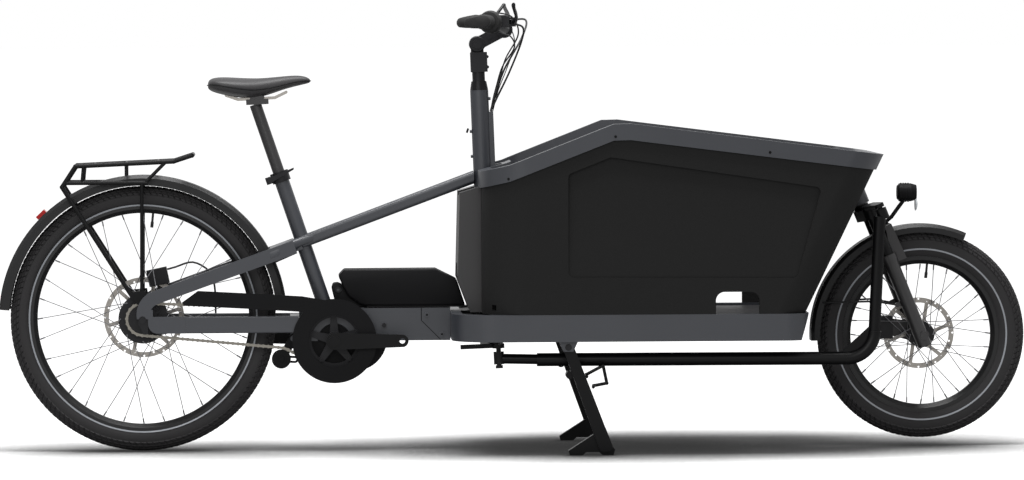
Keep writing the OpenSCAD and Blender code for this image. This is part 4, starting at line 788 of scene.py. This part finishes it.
def lever_blade(name, side, node):
    x, y, z = LEVER_PIN
    loft([[at(x + dx + thin * math.cos(math.pi * k / 9), side * (y + dy),
              z + dz + deep * math.sin(math.pi * k / 9)) for k in range(18)]
          for dx, dy, dz, deep, thin in BLADE])
    blade = bpy.context.object
    turned(at(x, side * y, z), EYE, steps=40, axis=(0, 0, 1))
    join([blade, bpy.context.object])
    keep(name, node, black_anodised, smooth=50, replaces=[node])


lever_blade("lever_blade_right", -1, "lever_r")
lever_blade("lever_blade_left", 1, "lever_l")
turned(at(845, 0, 1022), [(0.2, -18), (18.5, -18), (20.5, -16), (20.5, 16), (18.5, 18), (0.2, 18)],
       steps=64)
keep("stem_knuckle", "bar", black_anodised, smooth=35)

# %% [markdown]
# ## Headlight glass
# The lamp's glass is a shallow dome in the front of its black housing. It is turned about the
# lamp's own axis, and its place is taken from the housing's box.

# %% Lamp glass
low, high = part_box("headlight")
turned(Vector((high[0], 0, (low[2] + high[2]) / 2)),
       [(0.2, 3.2), (8, 2.6), (14, 1.2), (17.5, -1), (17.5, -3), (0.2, -3)], steps=48, axis=(1, 0, 0))
keep("headlight_glass", "lowers", lamp_glass, smooth=50)

# %% [markdown]
# ## Floor, backdrop and light
# The bicycle stands on white paper. Near the bicycle the paper takes the light as any white floor does,
# so it keeps the soft shadows, and its colour is also darkened close to what stands on it as a painted
# shade; far away, where the lamps no longer reach, the paper glows by itself, but only for the camera.
# The air behind it is plain white.
# Two wide soft lamps give the tubes their long highlights.

# %% Studio
def studio_floor():
    deselect()
    bpy.ops.mesh.primitive_plane_add(size=1, location=(0, 600, -0.0005))
    bpy.ops.transform.resize(value=(1600, 1300, 1))
    paper = bpy.context.object
    paper.name = "floor"
    bpy.ops.object.transform_apply(location=True, rotation=True, scale=True)
    material = bpy.data.materials.new("white_paper_painted_contact_shade")
    material.use_nodes = True
    tree = material.node_tree
    shader = tree.nodes["Principled BSDF"]
    shader.inputs["Roughness"].default_value = 0.9
    shader.inputs["Specular IOR Level"].default_value = 0.0
    seen = add_node(tree, "ShaderNodeLightPath")
    tone = add_node(tree, "ShaderNodeMix",
                    {"data_type": "RGBA", 6: (0.62, 0.62, 0.62, 1), 7: (1, 1, 1, 1)},
                    {0: seen.outputs["Is Camera Ray"]})
    # Painted shade: the paper's colour is darkened by ambient occlusion close to what stands on it,
    # where little of the room's light arrives
    painted_contact_shade = add_node(tree, "ShaderNodeAmbientOcclusion", {"Distance": 0.5, "samples": 8})
    depth = add_node(tree, "ShaderNodeMath", {"operation": "POWER", 1: 5.0}, {0: painted_contact_shade.outputs["AO"]})
    paper_tone_with_painted_shade = add_node(tree, "ShaderNodeMix", {"data_type": "RGBA", 6: (0, 0, 0, 1)},
                          {0: depth.outputs[0], 7: tone.outputs[2]})
    tree.links.new(paper_tone_with_painted_shade.outputs[2], shader.inputs["Base Color"])
    place = add_node(tree, "ShaderNodeTexCoord").outputs["Object"]
    away = add_node(tree, "ShaderNodeVectorMath", {"operation": "LENGTH"}, {0: place})
    far = add_node(tree, "ShaderNodeMapRange",
                   {"From Min": 1.9, "From Max": 4.5, "To Min": 0.04, "To Max": 0.72},
                   {"Value": away.outputs["Value"]})
    glow = add_node(tree, "ShaderNodeMath", {"operation": "MULTIPLY"},
                    {0: seen.outputs["Is Camera Ray"], 1: far.outputs[0]})
    shader.inputs["Emission Color"].default_value = (1, 1, 1, 1)
    tree.links.new(glow.outputs[0], shader.inputs["Emission Strength"])
    paper.data.materials.append(material)


def lamp(name, place, target, size, power):
    light = bpy.data.lights.new(name, "AREA")
    light.shape = "RECTANGLE"
    light.size, light.size_y = size
    light.energy = power
    holder = bpy.data.objects.new(name, light)
    bpy.context.scene.collection.objects.link(holder)
    holder.location = place
    holder.rotation_euler = (Vector(target) - Vector(place)).to_track_quat("-Z", "Y").to_euler()


studio_floor()
lamp("top_softbox", (0, -0.5, 4.0), (0, 0, 0.4), (3.4, 1.5), 235)
lamp("front_softbox", (-1.5, -5.5, 2.6), (0, 0, 0.5), (4.0, 2.0), 100)
world = bpy.data.worlds.new("studio_air")
bpy.context.scene.world = world
world.use_nodes = True
sky = world.node_tree
back = sky.nodes["Background"]
path = add_node(sky, "ShaderNodeLightPath")
seen = add_node(sky, "ShaderNodeMath", {"operation": "MAXIMUM"},
                {0: path.outputs["Is Camera Ray"], 1: path.outputs["Is Transmission Ray"]})
seen = add_node(sky, "ShaderNodeMath", {"operation": "MAXIMUM"},
                {0: seen.outputs[0], 1: path.outputs["Is Glossy Ray"]})
level = add_node(sky, "ShaderNodeMapRange", {"To Min": 0.36, "To Max": 1.0}, {"Value": seen.outputs[0]})
sky.links.new(level.outputs[0], back.inputs["Strength"])
back.inputs["Color"].default_value = (1, 1, 1, 1)
bpy.context.scene.view_settings.view_transform = "Standard"
